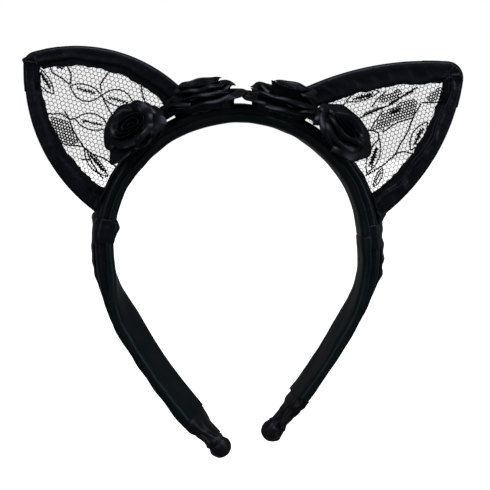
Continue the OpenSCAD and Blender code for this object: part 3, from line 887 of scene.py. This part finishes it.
# %% [markdown]
# The net is a job for Geometry Nodes. Its mesh of triangles has one point for the middle of each
# cell, and the dual of such a mesh is a honeycomb. The tree turns the honeycomb's edges into
# curves and gives them a thin round profile. The same tree makes the wide net and the dense one.


# %% Geometry Nodes tree for the net
def socket_id(tree, name):
    return [i.identifier for i in tree.interface.items_tree if i.name == name and i.in_out == "INPUT"][0]


def new_tree(name, numbers):
    """A Geometry Nodes tree with a geometry socket each way, named numbers and a material input."""
    tree = bpy.data.node_groups.new(name, "GeometryNodeTree")
    tree.interface.new_socket("Geometry", in_out="INPUT", socket_type="NodeSocketGeometry")
    for label, kind in numbers.items():
        tree.interface.new_socket(label, in_out="INPUT", socket_type=kind)
    tree.interface.new_socket("Finish", in_out="INPUT", socket_type="NodeSocketMaterial")
    tree.interface.new_socket("Geometry", in_out="OUTPUT", socket_type="NodeSocketGeometry")
    return tree, add(tree, "NodeGroupInput")


def end_tree(tree, source, shape):
    real = add(tree, "GeometryNodeRealizeInstances", {"Geometry": shape})
    painted = add(tree, "GeometryNodeSetMaterial", {
        "Geometry": real.outputs[0], "Material": source.outputs["Finish"]})
    add(tree, "NodeGroupOutput", {"Geometry": painted.outputs[0]})
    return tree


def grow(obj, tree, **values):
    """Runs the tree on the object and leaves the result as its plain mesh."""
    modifier = obj.modifiers.new("grow", "NODES")
    modifier.node_group = tree
    for label, value in values.items():
        modifier[socket_id(tree, label.replace("_", " "))] = value
    seen = obj.evaluated_get(bpy.context.evaluated_depsgraph_get())
    made = bpy.data.meshes.new_from_object(seen)
    obj.modifiers.clear()
    obj.data = made
    return obj


def net_tree():
    tree, source = new_tree("net_of_threads", {
        "Thread radius": "NodeSocketFloat", "Waviness": "NodeSocketFloat"})
    cells = add(tree, "GeometryNodeDualMesh", {"Mesh": source.outputs["Geometry"]})
    threads = add(tree, "GeometryNodeMeshToCurve", {"Mesh": cells.outputs[0]})
    noise = add(tree, "ShaderNodeTexNoise", {"Scale": 1400.0, "Detail": 1.0})
    shift = add(tree, "ShaderNodeVectorMath", {
        0: noise.outputs["Color"], 1: (0.5, 0.5, 0.5)}, operation="SUBTRACT")
    push = add(tree, "ShaderNodeVectorMath", {0: shift.outputs[0]}, operation="SCALE")
    tree.links.new(source.outputs["Waviness"], push.inputs["Scale"])
    wavy = add(tree, "GeometryNodeSetPosition", {"Geometry": threads.outputs[0], "Offset": push.outputs[0]})
    ring = add(tree, "GeometryNodeCurvePrimitiveCircle", {
        "Resolution": 4, "Radius": source.outputs["Thread radius"]})
    round_threads = add(tree, "GeometryNodeCurveToMesh", {
        "Curve": wavy.outputs[0], "Profile Curve": ring.outputs[0], "Fill Caps": True})
    return end_tree(tree, source, round_threads.outputs[0])


NET = net_tree()


def flat_mesh(name, side, flat, faces, depth, material):
    points = [ear_point(side, p, depth) for p in flat]
    return piece(name, points, faces, material)


def net_piece(name, side, polygon, cell, radius, depth, seed, tilt=0.3):
    flat, faces = triangles(lattice(polygon, cell, tilt, seed))
    longest = 1.7 * cell
    faces = [f for f in faces if max(np.linalg.norm(flat[f[i]] - flat[f[i - 1]]) for i in range(3)) < longest]
    net = flat_mesh(name, side, flat, faces, depth, NET_THREAD)
    grow(net, NET, Thread_radius=radius * MM, Waviness=0.12 * MM, Finish=NET_THREAD)
    net.data.shade_smooth()
    return net


# %% [markdown]
# The gimp cord is wrapped thread: seen close, it is a row of small beads. A stem is a cord
# through a few points, and a leaf is two bowed cords from its base to its tip with a fuzzy dark
# spine between them. Beads are a swelling radius along a thin tube.


# %% Gimp cords and leaves
def smooth_path(points, step=0.35):
    """A Catmull-Rom curve through the points, with points about step mm apart."""
    p = np.asarray(points, float)
    p = np.concatenate([[2 * p[0] - p[1]], p, [2 * p[-1] - p[-2]]])
    out = []
    for a, b, c, d in zip(p[:-3], p[1:-2], p[2:-1], p[3:]):
        count = max(2, int(np.linalg.norm(c - b) / step))
        for t in np.linspace(0, 1, count, endpoint=False):
            out.append(0.5 * (2 * b + (c - a) * t + (2 * a - 5 * b + 4 * c - d) * t ** 2
                              + (3 * b - a - 3 * c + d) * t ** 3))
    return np.array(out + [p[-2]])


class LaceWork:
    """Collects the cords of one ear's lace, then joins them into one mesh."""

    def __init__(self, side):
        self.side, self.points, self.faces, self.seed = side, [], [], 100 + SIDES[side]

    def cord(self, flat, radius=0.4, beads=0.5, depth=0.45):
        flat = smooth_path(flat)
        self.seed += 1
        length = np.arange(len(flat)) * 0.35
        flat = flat + 0.1 * np.stack([waver(self.seed, 3, length), waver(self.seed + 50, 3, length)], -1)
        swell = radius * (1 + beads * np.sin(length * math.tau / 1.05 + self.seed))
        lift = depth + 0.08 * waver(self.seed + 90, 6, length)
        path = np.array([ear_point(self.side, p, d) for p, d in zip(flat, lift)])
        ahead = np.gradient(path, axis=0)
        ahead /= np.linalg.norm(ahead, axis=1)[:, None]
        front = np.array([0.0, -1.0, 0.0])
        across = np.cross(ahead, front)
        first = len(self.points)
        for p, c, r in zip(path, across, swell):
            for k in range(5):
                a = math.tau * k / 5
                self.points.append(p + r * (math.cos(a) * c + 0.7 * math.sin(a) * front))
        for i in range(len(path) - 1):
            for k in range(5):
                a, b = first + i * 5 + k, first + i * 5 + (k + 1) % 5
                self.faces.append([a, b, b + 5, a + 5])
        self.faces.append([first + k for k in range(4, -1, -1)])
        self.faces.append([first + (len(path) - 1) * 5 + k for k in range(5)])

    def leaf(self, base, tip, width, bow=0.0, radius=0.33, spine=True):
        base, tip = np.array(base, float), np.array(tip, float)
        way = tip - base
        size = np.linalg.norm(way)
        off = np.array([-way[1], way[0]]) / size
        u = np.linspace(0, 1, 7)
        middle = base + u[:, None] * way + (bow * np.sin(math.pi * u))[:, None] * off
        half = width / 2 * np.sin(math.pi * u) ** 0.75
        for sign in (1, -1):
            self.cord(middle + sign * half[:, None] * off, radius)
        if spine:
            self.spine(mix(base, tip, 0.22), mix(base, tip, 0.8), size * 0.05)

    def spine(self, start, end, rough=0.5):
        """A dark fuzzy vein: zigzag thread packed along a line."""
        start, end = np.array(start, float), np.array(end, float)
        way = end - start
        size = np.linalg.norm(way)
        off = np.array([-way[1], way[0]]) / size
        count = max(6, int(size / 0.55))
        draw = np.random.default_rng(self.seed)
        u = np.linspace(0, 1, count)
        zig = np.where(np.arange(count) % 2, 1, -1) * draw.uniform(0.3, 1.0, count) * max(rough, 0.45)
        self.cord(start + u[:, None] * way + zig[:, None] * off, 0.3, 0.35)
        self.cord([start, end], 0.25, 0.3)

    def finish(self, name):
        return piece(name, self.points, self.faces, GIMP_CORD)


# %% [markdown]
# The pattern of each window, in mm on the ear's plane. The left ear's points are given with their
# real, negative X turned round, as the ear is mirrored. Leaves are base, tip, width and bow.
# These lists are a known fault, so they aren't an example to follow. Their points were picked by
# eye and turned into mm by another program, where a pattern worked out here from a few sizes is
# the rule.

# %% Pattern of the lace
LEFT_LEAVES = [
    ((72.0, 69.5), (58.5, 65.5), 7.0, 1.0), ((58.5, 65.5), (44.5, 61.5), 7.0, -1.0),
    ((70.0, 55.5), (55.5, 52.0), 7.0, -0.5), ((86.0, 77.5), (79.0, 66.0), 4.5, 0.5),
    ((66.0, 42.5), (56.0, 30.5), 4.5, 0.8),
]
LEFT_STEMS = [
    [(80.5, 79.0), (79.5, 75.5), (75.0, 72.5), (72.0, 70.0)],
    [(74.5, 80.0), (72.0, 76.0), (71.5, 73.5), (72.0, 70.0)],
    [(58.5, 67.0), (59.0, 70.0), (57.5, 72.5), (55.5, 75.5)],
    [(58.0, 64.5), (56.0, 60.5), (53.0, 55.5)],
    [(41.5, 71.0), (41.0, 67.0), (39.5, 62.0), (37.0, 58.0)],
    [(81.5, 57.5), (76.0, 57.5), (72.5, 55.5), (70.0, 55.5)],
    [(72.5, 55.5), (70.5, 50.0), (66.5, 43.5)],
    [(66.5, 43.5), (63.0, 40.5), (58.0, 38.5), (52.0, 34.5)],
    [(67.5, 38.0), (63.5, 38.0)],
    [(74.5, 59.0), (73.5, 57.0), (72.5, 55.5)],
    [(66.5, 43.5), (74.5, 44.5), (78.0, 47.0)],
    [(65.0, 41.5), (62.0, 35.0), (58.0, 29.5)],
]
LEFT_PATCHES = [
    [(81.5, 57.5), (72.5, 55.5), (70.0, 50.0), (66.5, 43.5), (74.5, 44.0), (78.5, 47.5), (81.5, 53.5)],
]
LEFT_SPINES = [((84.5, 75.5), (80.5, 69.0)), ((63.5, 40.0), (56.5, 32.0)), ((78.8, 78.6), (75.0, 77.0))]

RIGHT_LEAVES = [
    ((63.0, 46.5), (57.5, 31.5), 5.0, 0.3), ((84.5, 54.0), (77.0, 41.5), 5.2, -0.5),
    ((48.0, 63.0), (63.0, 67.5), 4.2, 0.5), ((64.5, 34.0), (60.5, 25.5), 2.6, 0.3),
]
RIGHT_STEMS = [
    [(53.5, 55.5), (60.5, 59.0), (67.5, 61.5), (73.5, 65.5), (80.0, 69.5)],
    [(62.5, 49.5), (63.0, 46.5)],
    [(57.0, 30.5), (64.5, 35.0), (70.0, 39.5), (73.5, 41.0), (78.5, 40.0)],
    [(54.5, 48.5), (58.0, 50.5), (62.5, 49.5)],
    [(70.0, 39.5), (72.5, 44.5), (75.5, 49.5), (78.0, 56.0), (81.5, 62.0)],
    [(62.0, 22.0), (64.5, 25.5), (68.5, 29.0), (73.5, 32.5)],
    [(82.0, 62.5), (83.5, 62.5), (89.5, 63.0), (92.5, 65.0)],
    [(64.5, 49.5), (70.5, 53.5), (78.5, 56.0)],
    [(59.0, 50.5), (61.0, 54.0), (64.5, 59.0)],
    [(48.0, 62.5), (46.0, 60.5)],
    [(59.5, 60.5), (62.0, 64.0), (66.0, 67.5)],
]
RIGHT_PATCHES = [
    [(61.0, 62.0), (64.5, 66.5), (71.0, 69.0), (76.0, 69.5), (73.0, 65.5), (67.0, 62.0)],
    [(59.0, 50.0), (60.5, 53.5), (64.5, 59.0), (73.0, 63.5), (78.5, 65.5), (81.5, 63.0), (78.5, 56.0),
     (70.5, 53.5), (64.5, 49.5)],
    [(82.0, 62.5), (85.0, 67.5), (91.0, 71.0), (93.0, 66.0), (89.5, 63.0), (83.5, 62.0)],
    [(54.5, 55.5), (57.0, 59.0), (62.0, 61.0), (66.0, 61.0), (60.0, 58.0)],
]
RIGHT_SPINES = [((62.0, 42.5), (59.5, 34.0)), ((81.5, 51.0), (79.0, 44.0)), ((53.5, 64.5), (59.5, 65.8)),
                ((56.0, 57.0), (65.0, 60.5)), ((67.0, 61.8), (78.0, 68.0)), ((68.0, 58.0), (72.0, 60.0))]
LACE = {"left": (LEFT_LEAVES, LEFT_STEMS, LEFT_PATCHES, LEFT_SPINES),
        "right": (RIGHT_LEAVES, RIGHT_STEMS, RIGHT_PATCHES, RIGHT_SPINES)}

# %% Lace in each ear
NET_CELL, DENSE_CELL, FINEST_CELL = 1.9, 1.25, 0.5
NET_R, DENSE_SHARE = 0.12, 0.215
CORD_WEIGHT, SPINE_WEIGHT = 0.38, 0.9
for side in SIDES:
    ear = EARS[side]
    rim = window(ear, ear["width"] - 2.0, 62.3)
    flat, faces = triangles(lattice(rim, 3.0, 0.1, 5, 0.0), rim)
    cloth = flat_mesh("lace_ground_" + side, side, flat, faces, 0.0, LACE_FILM)
    leaves, stems, patches, spines = LACE[side]
    net = net_piece("lace_net_" + side, side, window(ear, ear["width"] - 1.5, 61.9),
                    NET_CELL, NET_R, 0.15, 21)
    parts = [net]
    for k, patch in enumerate(patches):
        corners = np.array(patch)
        x, z = corners.T
        patch_area = abs(x @ np.roll(z, 1) - z @ np.roll(x, 1)) / 2
        cell = min(DENSE_CELL, max(FINEST_CELL, 0.4 * patch_area / np.linalg.norm(np.ptp(corners, axis=0))))
        parts.append(net_piece(f"lace_dense_{side}_{k + 1}", side, corners,
                               cell, DENSE_SHARE * cell, 0.25, 31 + k))
        print(parts[-1].name, "cell", round(cell, 2), "mm,", len(parts[-1].data.polygons), "faces")
    work = LaceWork(side)
    for leaf in leaves:
        work.leaf(*leaf)
    for stem in stems:
        work.cord(stem, CORD_WEIGHT)
    for start, end in spines:
        work.spine(start, end, SPINE_WEIGHT)
    parts.append(work.finish("lace_gimp_" + side))
    for part in [cloth] + parts:
        bend_at_ear(part)
    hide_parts("ear_lace_" + side)

# %% [markdown]
# A row of running stitches holds each binding to the lace. Geometry Nodes lays them: it turns a
# line into evenly spaced points and puts one short thread at each, turned along the line.


# %% Running stitches
def stitch_tree():
    numbers = {"Spacing": "NodeSocketFloat", "Length": "NodeSocketFloat", "Thickness": "NodeSocketFloat"}
    tree, source = new_tree("row_of_stitches", numbers)
    line = add(tree, "GeometryNodeMeshToCurve", {"Mesh": source.outputs["Geometry"]})
    places = add(tree, "GeometryNodeCurveToPoints", {
        "Curve": line.outputs[0], "Length": source.outputs["Spacing"]}, mode="LENGTH")
    thread = add(tree, "GeometryNodeMeshUVSphere", {"Segments": 6, "Rings": 5, "Radius": 1.0})
    size = add(tree, "ShaderNodeCombineXYZ", {
        "X": source.outputs["Thickness"], "Y": source.outputs["Thickness"], "Z": source.outputs["Length"]})
    put = add(tree, "GeometryNodeInstanceOnPoints", {
        "Points": places.outputs["Points"], "Instance": thread.outputs[0],
        "Rotation": places.outputs["Rotation"], "Scale": size.outputs[0]})
    return end_tree(tree, source, put.outputs[0])


STITCHES = stitch_tree()
SEWING_THREAD = lace_thread("polyester_sewing_thread", "#101017", 0.5)


def stitch_row(name, points, spacing=2.4, length=0.75, thick=0.13):
    mesh = bpy.data.meshes.new(name)
    mesh.from_pydata((np.asarray(points) * MM).tolist(), [(k, k + 1) for k in range(len(points) - 1)], [])
    row = bpy.data.objects.new(name, mesh)
    bpy.context.scene.collection.objects.link(row)
    grow(row, STITCHES, Spacing=spacing * MM, Length=length * MM, Thickness=thick * MM, Finish=SEWING_THREAD)
    row.data.shade_smooth()
    return row


for side in SIDES:
    for strip in ("upper", "outer"):
        grid, _ = binding_grid(side, strip)
        row = stitch_row(f"stitches_{strip}_{side}", grid[2:84, 1] + np.array([0, -0.1, 0]))
        bend_at_ear(row)
        print(row.name, len(row.data.polygons), "faces")

# %% [markdown]
# ## Where the ears meet the band
# A narrow satin strip covers the band under each lace window, and the end of each outer binding
# wraps round the band below the ear. Both are plain ribbon laid on the cover.

# %% Base strips and side wraps
for side in SIDES:
    ear = EARS[side]
    a0 = math.degrees(angle_of(ear["outer_foot"])) + 5
    a1 = math.degrees(angle_of(ear["upper_foot"])) - 5
    rows = []
    for a in np.arange(a0, a1, 1.2):
        w = np.linspace(-5.6, 4.8, 12)
        n = ARCH_T / 2 + 0.75 + 0.22 * waver(61, 7, a * 1.05, w) - 0.5 * np.abs(w / 5.6) ** 4
        n = n + 6.0 * ease((a - a1 + 26) / 9) * (1 - np.abs(w / 6) ** 2)
        rows.append(arch_place(a if side == "right" else 180 - a, n, w))
    strip = sew("ribbon_base_strip_" + side, rows, BINDING_SATIN, flip=(side == "right"), thick=0.3)
    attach(strip, "band")
    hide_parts("ear_base_strip_" + side)
    declare_ribbon(strip, 10.4, math.radians(a1 - a0) * ARCH_OUT, "stretched", cover_arch)

WRAPS = {"left": (2.2, 12.4), "right": (-1.2, 9.0)}
for side in SIDES:
    low, high = WRAPS[side]
    rows = []
    for a in np.linspace(low, high, 22):
        n, w = outline(ARCH_T + 0.9, BAND_W + 0.9, 60)
        swell = 0.7 * math.sin(math.pi * (a - low) / (high - low)) ** 0.6
        pouch = (1.6 if side == "left" else 0.3) * math.exp(-((a - low - 7.2) / 2.6) ** 2)
        crease = 0.16 * waver(71 + SIDES[side], 4, n, w * 0.5, np.full(len(n), a * 1.1))
        n = n * (1 + (swell * 0.6 + crease) / 4.2)
        w = w * (1 + (swell * 0.4 + crease) / 8.2)
        n = n - pouch * (n < 0) * (1 - np.abs(w / 9.5) ** 4)
        rows.append(arch_place(a if side == "right" else 180 - a, n, w))
    wrap = sew("ribbon_wrap_" + side, rows, BINDING_SATIN, around=True, thick=0.3)
    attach(wrap, "band")
    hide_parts("ear_tab_" + side)
    declare_ribbon(wrap, math.radians(high - low) * ARCH_MID, 44.0, "folded", cover_arch)

# %% [markdown]
# The loose end of each outer ribbon runs on down the outside of the band, from the ear's foot.
# The right one stands further off the cover than the left, most of all near the ear's foot, and
# both thin out below the wrap.

# %% Loose ribbon ends
for side, tall in (("left", 0.4), ("right", 1.0)):
    rows = []
    for s in np.linspace(-25, 15, 34):
        rise = tall * ease((s + 26) / 4) * (1 - 0.85 * ease((s - 1) / 13)) * (1 + 0.15 * waver(75, 9, s))
        rise = rise * (1 + 0.8 * math.exp(-((s + 21) / 4) ** 2))
        w = np.array([-3.2, -1.6, 0.4, 2.6, 4.8, 6.4, 7.5, 8.1, 8.3])
        n = np.array([0.35, 1.2, 2.0, 2.5, 2.5, 2.0, 1.2, 0.2, -1.2]) * np.where(w < 8, rise, 1) + 0.3
        rows.append(leg_place(side, s, thick_at(s) / 2 + n + 0.15 * waver(76, 5, s, w), w))
    tail = sew("ribbon_end_" + side, rows, BINDING_SATIN, thick=0.3, flip=(side == "right"))
    bend_at_pivot(tail, side)
    declare_ribbon(tail, 14.0, 41.0, "folded", "satin_cover_leg_" + side)

# %% [markdown]
# ## Tip socks
# Each end of the strip is finished with a little satin sock, gathered round the tip with a thread
# and stuffed into a knob. Ribs run along it from the gather, so its rings are rippled, most at
# the neck where the cloth is drawn in.

# %% Tip socks
SOCK_STOPS = [0, 0.12, 0.3, 0.5, 0.62, 0.7, 0.76, 0.82]
SOCK_WIDE = [15.7, 15.6, 13.4, 10.4, 8.8, 7.8, 8.2, 9.2]
SOCK_THICK = [5.6, 5.8, 6.4, 6.9, 6.8, 6.4, 7.2, 8.8]
KNOB_R = 4.9


def sock_rows(side):
    total = leg_total(side)
    start = total - SOCK_LENGTH + 1.2
    a = np.linspace(0, math.tau, 72, endpoint=False)
    rows = []
    for u in np.linspace(0, 0.82, 44):
        s = start + u * SOCK_LENGTH
        wide, thick = (np.interp(u, SOCK_STOPS, v) for v in (SOCK_WIDE, SOCK_THICK))
        power = mix(3.2, 2.0, ease(u / 0.6))
        n = np.sign(np.cos(a)) * np.abs(np.cos(a)) ** (2 / power) * thick / 2
        w = np.sign(np.sin(a)) * np.abs(np.sin(a)) ** (2 / power) * wide / 2
        rib = 0.2 * math.exp(-((u - 0.68) / 0.16) ** 2) * waver(81, 0.75, a + 0.15 * math.sin(u * 9))
        sag = 0.22 * waver(83 + SIDES[side], 5, n, w, np.full(len(a), s)) * ease(u / 0.15)
        grow_by = 1 + (rib + sag) / 4
        rows.append(leg_place(side, s, n * grow_by, w * grow_by))
    for b in np.linspace(-0.55, math.pi / 2 - 0.06, 16):
        s = total + 1.2 + KNOB_R * math.sin(b)
        r = KNOB_R * math.cos(b)
        lump = 1 + 0.05 * waver(87 + SIDES[side], 3.5, r * np.cos(a), r * np.sin(a), np.full(len(a), s))
        lump += 0.025 * waver(89, 0.8, a + b * 0.3) * math.cos(b)
        rows.append(leg_place(side, s, r * np.cos(a) * lump, r * np.sin(a) * lump))
    return rows


for side in SIDES:
    sock = sew("gathered_tip_sock_" + side, sock_rows(side), SOCK_SATIN, around=True, caps=True)
    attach(sock, "leg_" + side)
    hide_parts("tip_sock_" + side)

# %% [markdown]
# ## Ribbon roses
# A ribbon rose is one ribbon, rolled tight for the bud and then folded over and over into petals,
# with every turn sewn down at the base. The bud here is a spiral wall, and each petal is a patch
# whose rim rolls outwards. Petals are listed for each rose: direction in degrees, half
# its spread, radius at the base and at the rim, height of the base and of the rim, how far the
# rim rolls out, and how far a folded corner sticks out of its middle.


# %% Shapes of the roses
ROSES = {
    ("top", "left"): {"angle": 77.0, "seat": ARCH_OUT + 1.7, "y": -6.8, "lean": 14},
    ("top", "right"): {"angle": 73.5, "seat": ARCH_OUT + 0.9, "y": -6.8, "lean": 14},
    ("low", "left"): {"angle": 48.0, "seat": ARCH_OUT + 3.4, "y": -9.9, "lean": 46},
    ("low", "right"): {"angle": 48.8, "seat": ARCH_OUT + 0.7, "y": -10.8, "lean": 48},
}


def rose_place(key, x, y, z):
    """Points given in the rose's own axes: x along the band, y to the back, z up through the bud."""
    rose = ROSES[key]
    sign = SIDES[key[1]]
    a, lean = math.radians(rose["angle"]), math.radians(rose["lean"])
    y, z = y * math.cos(lean) - z * math.sin(lean), y * math.sin(lean) + z * math.cos(lean)
    across = rose["seat"] * math.cos(a) + x * math.sin(a) + z * math.cos(a)
    up = rose["seat"] * math.sin(a) - x * math.cos(a) + z * math.sin(a)
    return np.stack([sign * across, rose["y"] + y, up], -1)


def petal_grid(key, seed, turn, spread, r0, r1, z0, z1, roll=1.2, corner=0.0, squash=1.0, cols=19, rows=15):
    u = np.linspace(-1, 1, cols)[None, :]
    v = np.linspace(0, 1, rows)[:, None]
    a = math.radians(turn) + math.radians(spread) * u
    dip = 1 - 0.16 * np.abs(u) ** 4
    over = np.clip((v - 0.72) / 0.28, 0, 1)
    r = r0 + (r1 - r0) * (v ** 1.3) * dip + roll * over ** 1.5 + corner * (1 - np.abs(u)) ** 2 * v ** 3
    r = r + 0.8 * waver(seed, 7, a * r1 * 0.6, v * (z1 - z0)) * v
    z = z0 + (z1 - z0) * np.sin(np.clip(v, 0, 1) ** 0.9 * math.pi / 2) * dip - roll * 0.9 * over ** 2
    z = z + 0.7 * waver(seed + 1, 8, a * r1 * 0.6, v * 8) * v
    return rose_place(key, r * np.cos(a), r * np.sin(a) * squash, z)


def bud_grid(key, seed, turn, turns, r_in, r_out, z0, z1, long=1.0, wide=1.0, rows=12):
    """A spiral wall, wound turns times from r_in to r_out, its rim dipping to the middle."""
    t = np.linspace(0, 1, int(34 * turns))[None, :]
    v = np.linspace(0, 1, rows)[:, None]
    a = math.tau * turns * t
    r = (r_in + (r_out - r_in) * t) * (0.8 + 0.2 * v + 0.1 * np.clip((v - 0.8) / 0.2, 0, 1))
    r = r + 0.18 * waver(seed, 3.5, a * 2, v * 4)
    x, y = r * np.cos(a) * long, r * np.sin(a) * wide
    b = math.radians(turn)
    x, y = x * math.cos(b) - y * math.sin(b), x * math.sin(b) + y * math.cos(b)
    z = z0 + (z1 - z0) * v * (1 - 0.16 * (1 - t) + 0.03 * waver(seed + 1, 6, a * 2)) + 0 * a
    return rose_place(key, x, y, z)


PETALS = {
    ("top", "left"): [
        (-90, 88, 12.0, 15.5, -1.5, 3.0, 1.4, 0, 0.56), (10, 75, 12.0, 16.5, -1.5, 4.6, 1.8, 0, 0.56),
        (175, 70, 12.0, 17.0, -3.0, 2.6, 1.6, 0, 0.56), (92, 88, 10.0, 14.0, -1.0, 6.8, 1.4, 0, 0.58),
        (-60, 75, 9.5, 14.0, 0.5, 6.4, 1.6, 0, 0.58), (-130, 70, 9.5, 12.5, 0.5, 6.6, 1.6, 0, 0.6),
        (60, 85, 7.5, 11.5, 1.0, 9.6, 1.4, 0, 0.62), (-100, 88, 7.0, 11.0, 1.0, 8.8, 1.5, 0, 0.62),
    ],
    ("top", "right"): [
        (-100, 85, 10.0, 15.0, -1.5, 1.6, 1.4, 3.0, 0.58), (5, 70, 12.0, 17.0, -2.5, 3.8, 1.7, 0, 0.56),
        (178, 70, 12.0, 17.5, -3.0, 2.0, 1.6, 0, 0.56), (92, 88, 10.0, 14.0, -1.0, 6.8, 1.4, 0, 0.58),
        (-70, 75, 9.5, 14.0, 0.0, 6.0, 1.7, 0, 0.6), (-140, 70, 9.5, 13.0, 0.0, 5.4, 1.6, 0, 0.6),
        (150, 80, 7.5, 11.0, 1.0, 7.6, 1.5, 0, 0.6), (30, 88, 7.0, 12.0, 1.0, 11.4, 1.5, 0, 0.64),
    ],
    ("low", "left"): [
        (-20, 46, 4.5, 12.0, 0.2, 5.0, 1.0, 5.2, 0.98), (-100, 55, 4.5, 11.5, 0.4, 6.2, 1.2, 0, 0.98),
        (-151, 48, 4.5, 13.2, 0.2, 5.2, 1.4, 0, 0.98), (153, 55, 4.5, 11.6, 0.4, 6.0, 1.6, 0, 0.98),
        (100, 55, 4.5, 12.5, 0.4, 5.6, 1.5, 0, 0.98), (46, 55, 4.5, 12.5, 0.4, 6.2, 1.5, 0, 0.98),
        (-60, 70, 4.2, 10.6, 0.8, 8.6, 1.4, 0, 0.92), (70, 85, 4.2, 10.2, 0.8, 8.8, 1.3, 0, 0.92),
        (-106, 34, 7.6, 9.6, 0.0, 9.4, 2.0, 0, 0.98), (-135, 30, 8.0, 12.6, 0.0, 7.6, 2.2, 1.5, 0.98),
        (175, 75, 4.2, 10.6, 0.8, 9.0, 1.4, 0, 0.88),
    ],
    ("low", "right"): [
        (90, 85, 4.5, 14.0, 0.2, 6.0, 1.6, 0, 0.96), (30, 60, 4.5, 13.6, 0.2, 5.0, 1.5, 0, 0.96),
        (150, 60, 4.5, 13.0, 0.2, 5.2, 1.5, 0, 0.96), (-90, 80, 6.0, 9.5, 0.3, 8.2, 1.5, 0, 0.95),
        (-20, 70, 6.0, 13.4, 0.2, 7.4, 1.9, 0, 0.9), (-160, 70, 6.0, 11.5, 0.2, 7.4, 1.7, 0, 0.9),
        (90, 90, 5.0, 9.8, 0.6, 10.2, 1.6, 0, 0.7), (-90, 90, 5.0, 8.6, 0.6, 10.6, 1.8, 0, 0.62),
    ],
}
BUDS = {
    ("top", "left"): (10, 2.2, 1.0, 8.0, 1.0, 9.6, 1.25, 0.6),
    ("top", "right"): (0, 2.2, 1.0, 7.6, 1.0, 10.6, 1.25, 0.62),
    ("low", "left"): (16, 3.0, 0.6, 7.2, 1.0, 9.2, 1.16, 0.76),
    ("low", "right"): (-8, 1.2, 3.6, 5.6, 1.0, 10.2, 1.55, 0.36),
}


def join(name, parts):
    """Joins finished pieces of one material into one."""
    with bpy.context.temp_override(active_object=parts[0], selected_editable_objects=parts):
        bpy.ops.object.join()
    parts[0].name = parts[0].data.name = name
    return parts[0]


RIBBON_WIDTH = 25.0
for (level, side), petals in PETALS.items():
    key, label = (level, side), f"{level}_{side}"
    seed = 200 + 20 * SIDES[side] + (7 if level == "top" else 0)
    parts = [sew(f"petal_{label}_{k}", petal_grid(key, seed + 2 * k, *petal), ROSE_SATIN,
                 flip=(side == "left"), thick=0.3, levels=1) for k, petal in enumerate(petals)]
    cup = join(f"rose_{label}_ribbon_petals", parts)
    bud = sew(f"rose_{label}_rolled_bud", bud_grid(key, seed + 90, *BUDS[key]), ROSE_SATIN,
              flip=(side == "left"), thick=0.35, levels=1)
    for part, node, wide in ((cup, "petals", RIBBON_WIDTH), (bud, "bud", RIBBON_WIDTH / 2)):
        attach(part, "band")
        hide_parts(f"rose_{label}_{node}")
        face_area = sum(p.area for p in part.data.polygons) / 2 / MM / MM
        declare_ribbon(part, wide, round(face_area / wide), "folded", cover_arch)

# %% [markdown]
# Hot-melt glue holds each rose. A dab squeezes out from under it, and the gun leaves fine strings
# when it is pulled away. A dab is a round blob flattened on the satin.


# %% Glue
def blob(name, place, radius, height, seed, rows=9, cols=20):
    grid = []
    for b in np.linspace(0.05, math.pi - 0.05, rows):
        a = np.linspace(0, math.tau, cols, endpoint=False)
        r = radius * math.sin(b) * (1 + 0.15 * waver(seed, 3, radius * np.cos(a), radius * np.sin(a)))
        grid.append(place(r * np.cos(a), r * np.sin(a), np.full(cols, height * math.cos(b))))
    obj = sew(name, grid, GLUE, around=True, caps=True, levels=1)
    clean = bmesh.new()
    clean.from_mesh(obj.data)
    bmesh.ops.recalc_face_normals(clean, faces=clean.faces)
    clean.to_mesh(obj.data)
    clean.free()
    return obj


for key in ROSES:
    label = "_".join(key)
    dab = blob(f"glue_dab_{label}", lambda x, y, z: rose_place(key, x, y, z), 4.2, 1.0, 300)
    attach(dab, "band")
    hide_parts(f"rose_{label}_glue")
bead = blob("glue_bead_left", lambda x, y, z: arch_place(124 + x, 6.0 + z, -6.9 + y), 1.1, 0.9, 310, 7, 12)
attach(bead, "band")
ends = [
    ((121, 6, -7), (129, 9, -7.5)),
    ((124, 6, -7), (131, 7, -9)),
    ((57, 6, -7), (52, 8, -8)),
    ((60, 7, -6.5), (66, 6, -8)),
]
for k, (start, end) in enumerate(ends):
    way = [mix(np.array(start, float), np.array(end, float), t)
           + [0, -1.6 * math.sin(t * math.pi), -0.8 * math.sin(t * 5)]
           for t in np.linspace(0, 1, 9)]
    string = tube(f"glue_string_{k + 1}", [arch_place(*w) for w in way], 0.09, GLUE, 6)
    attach(string, "band")
print("roses and glue in place")
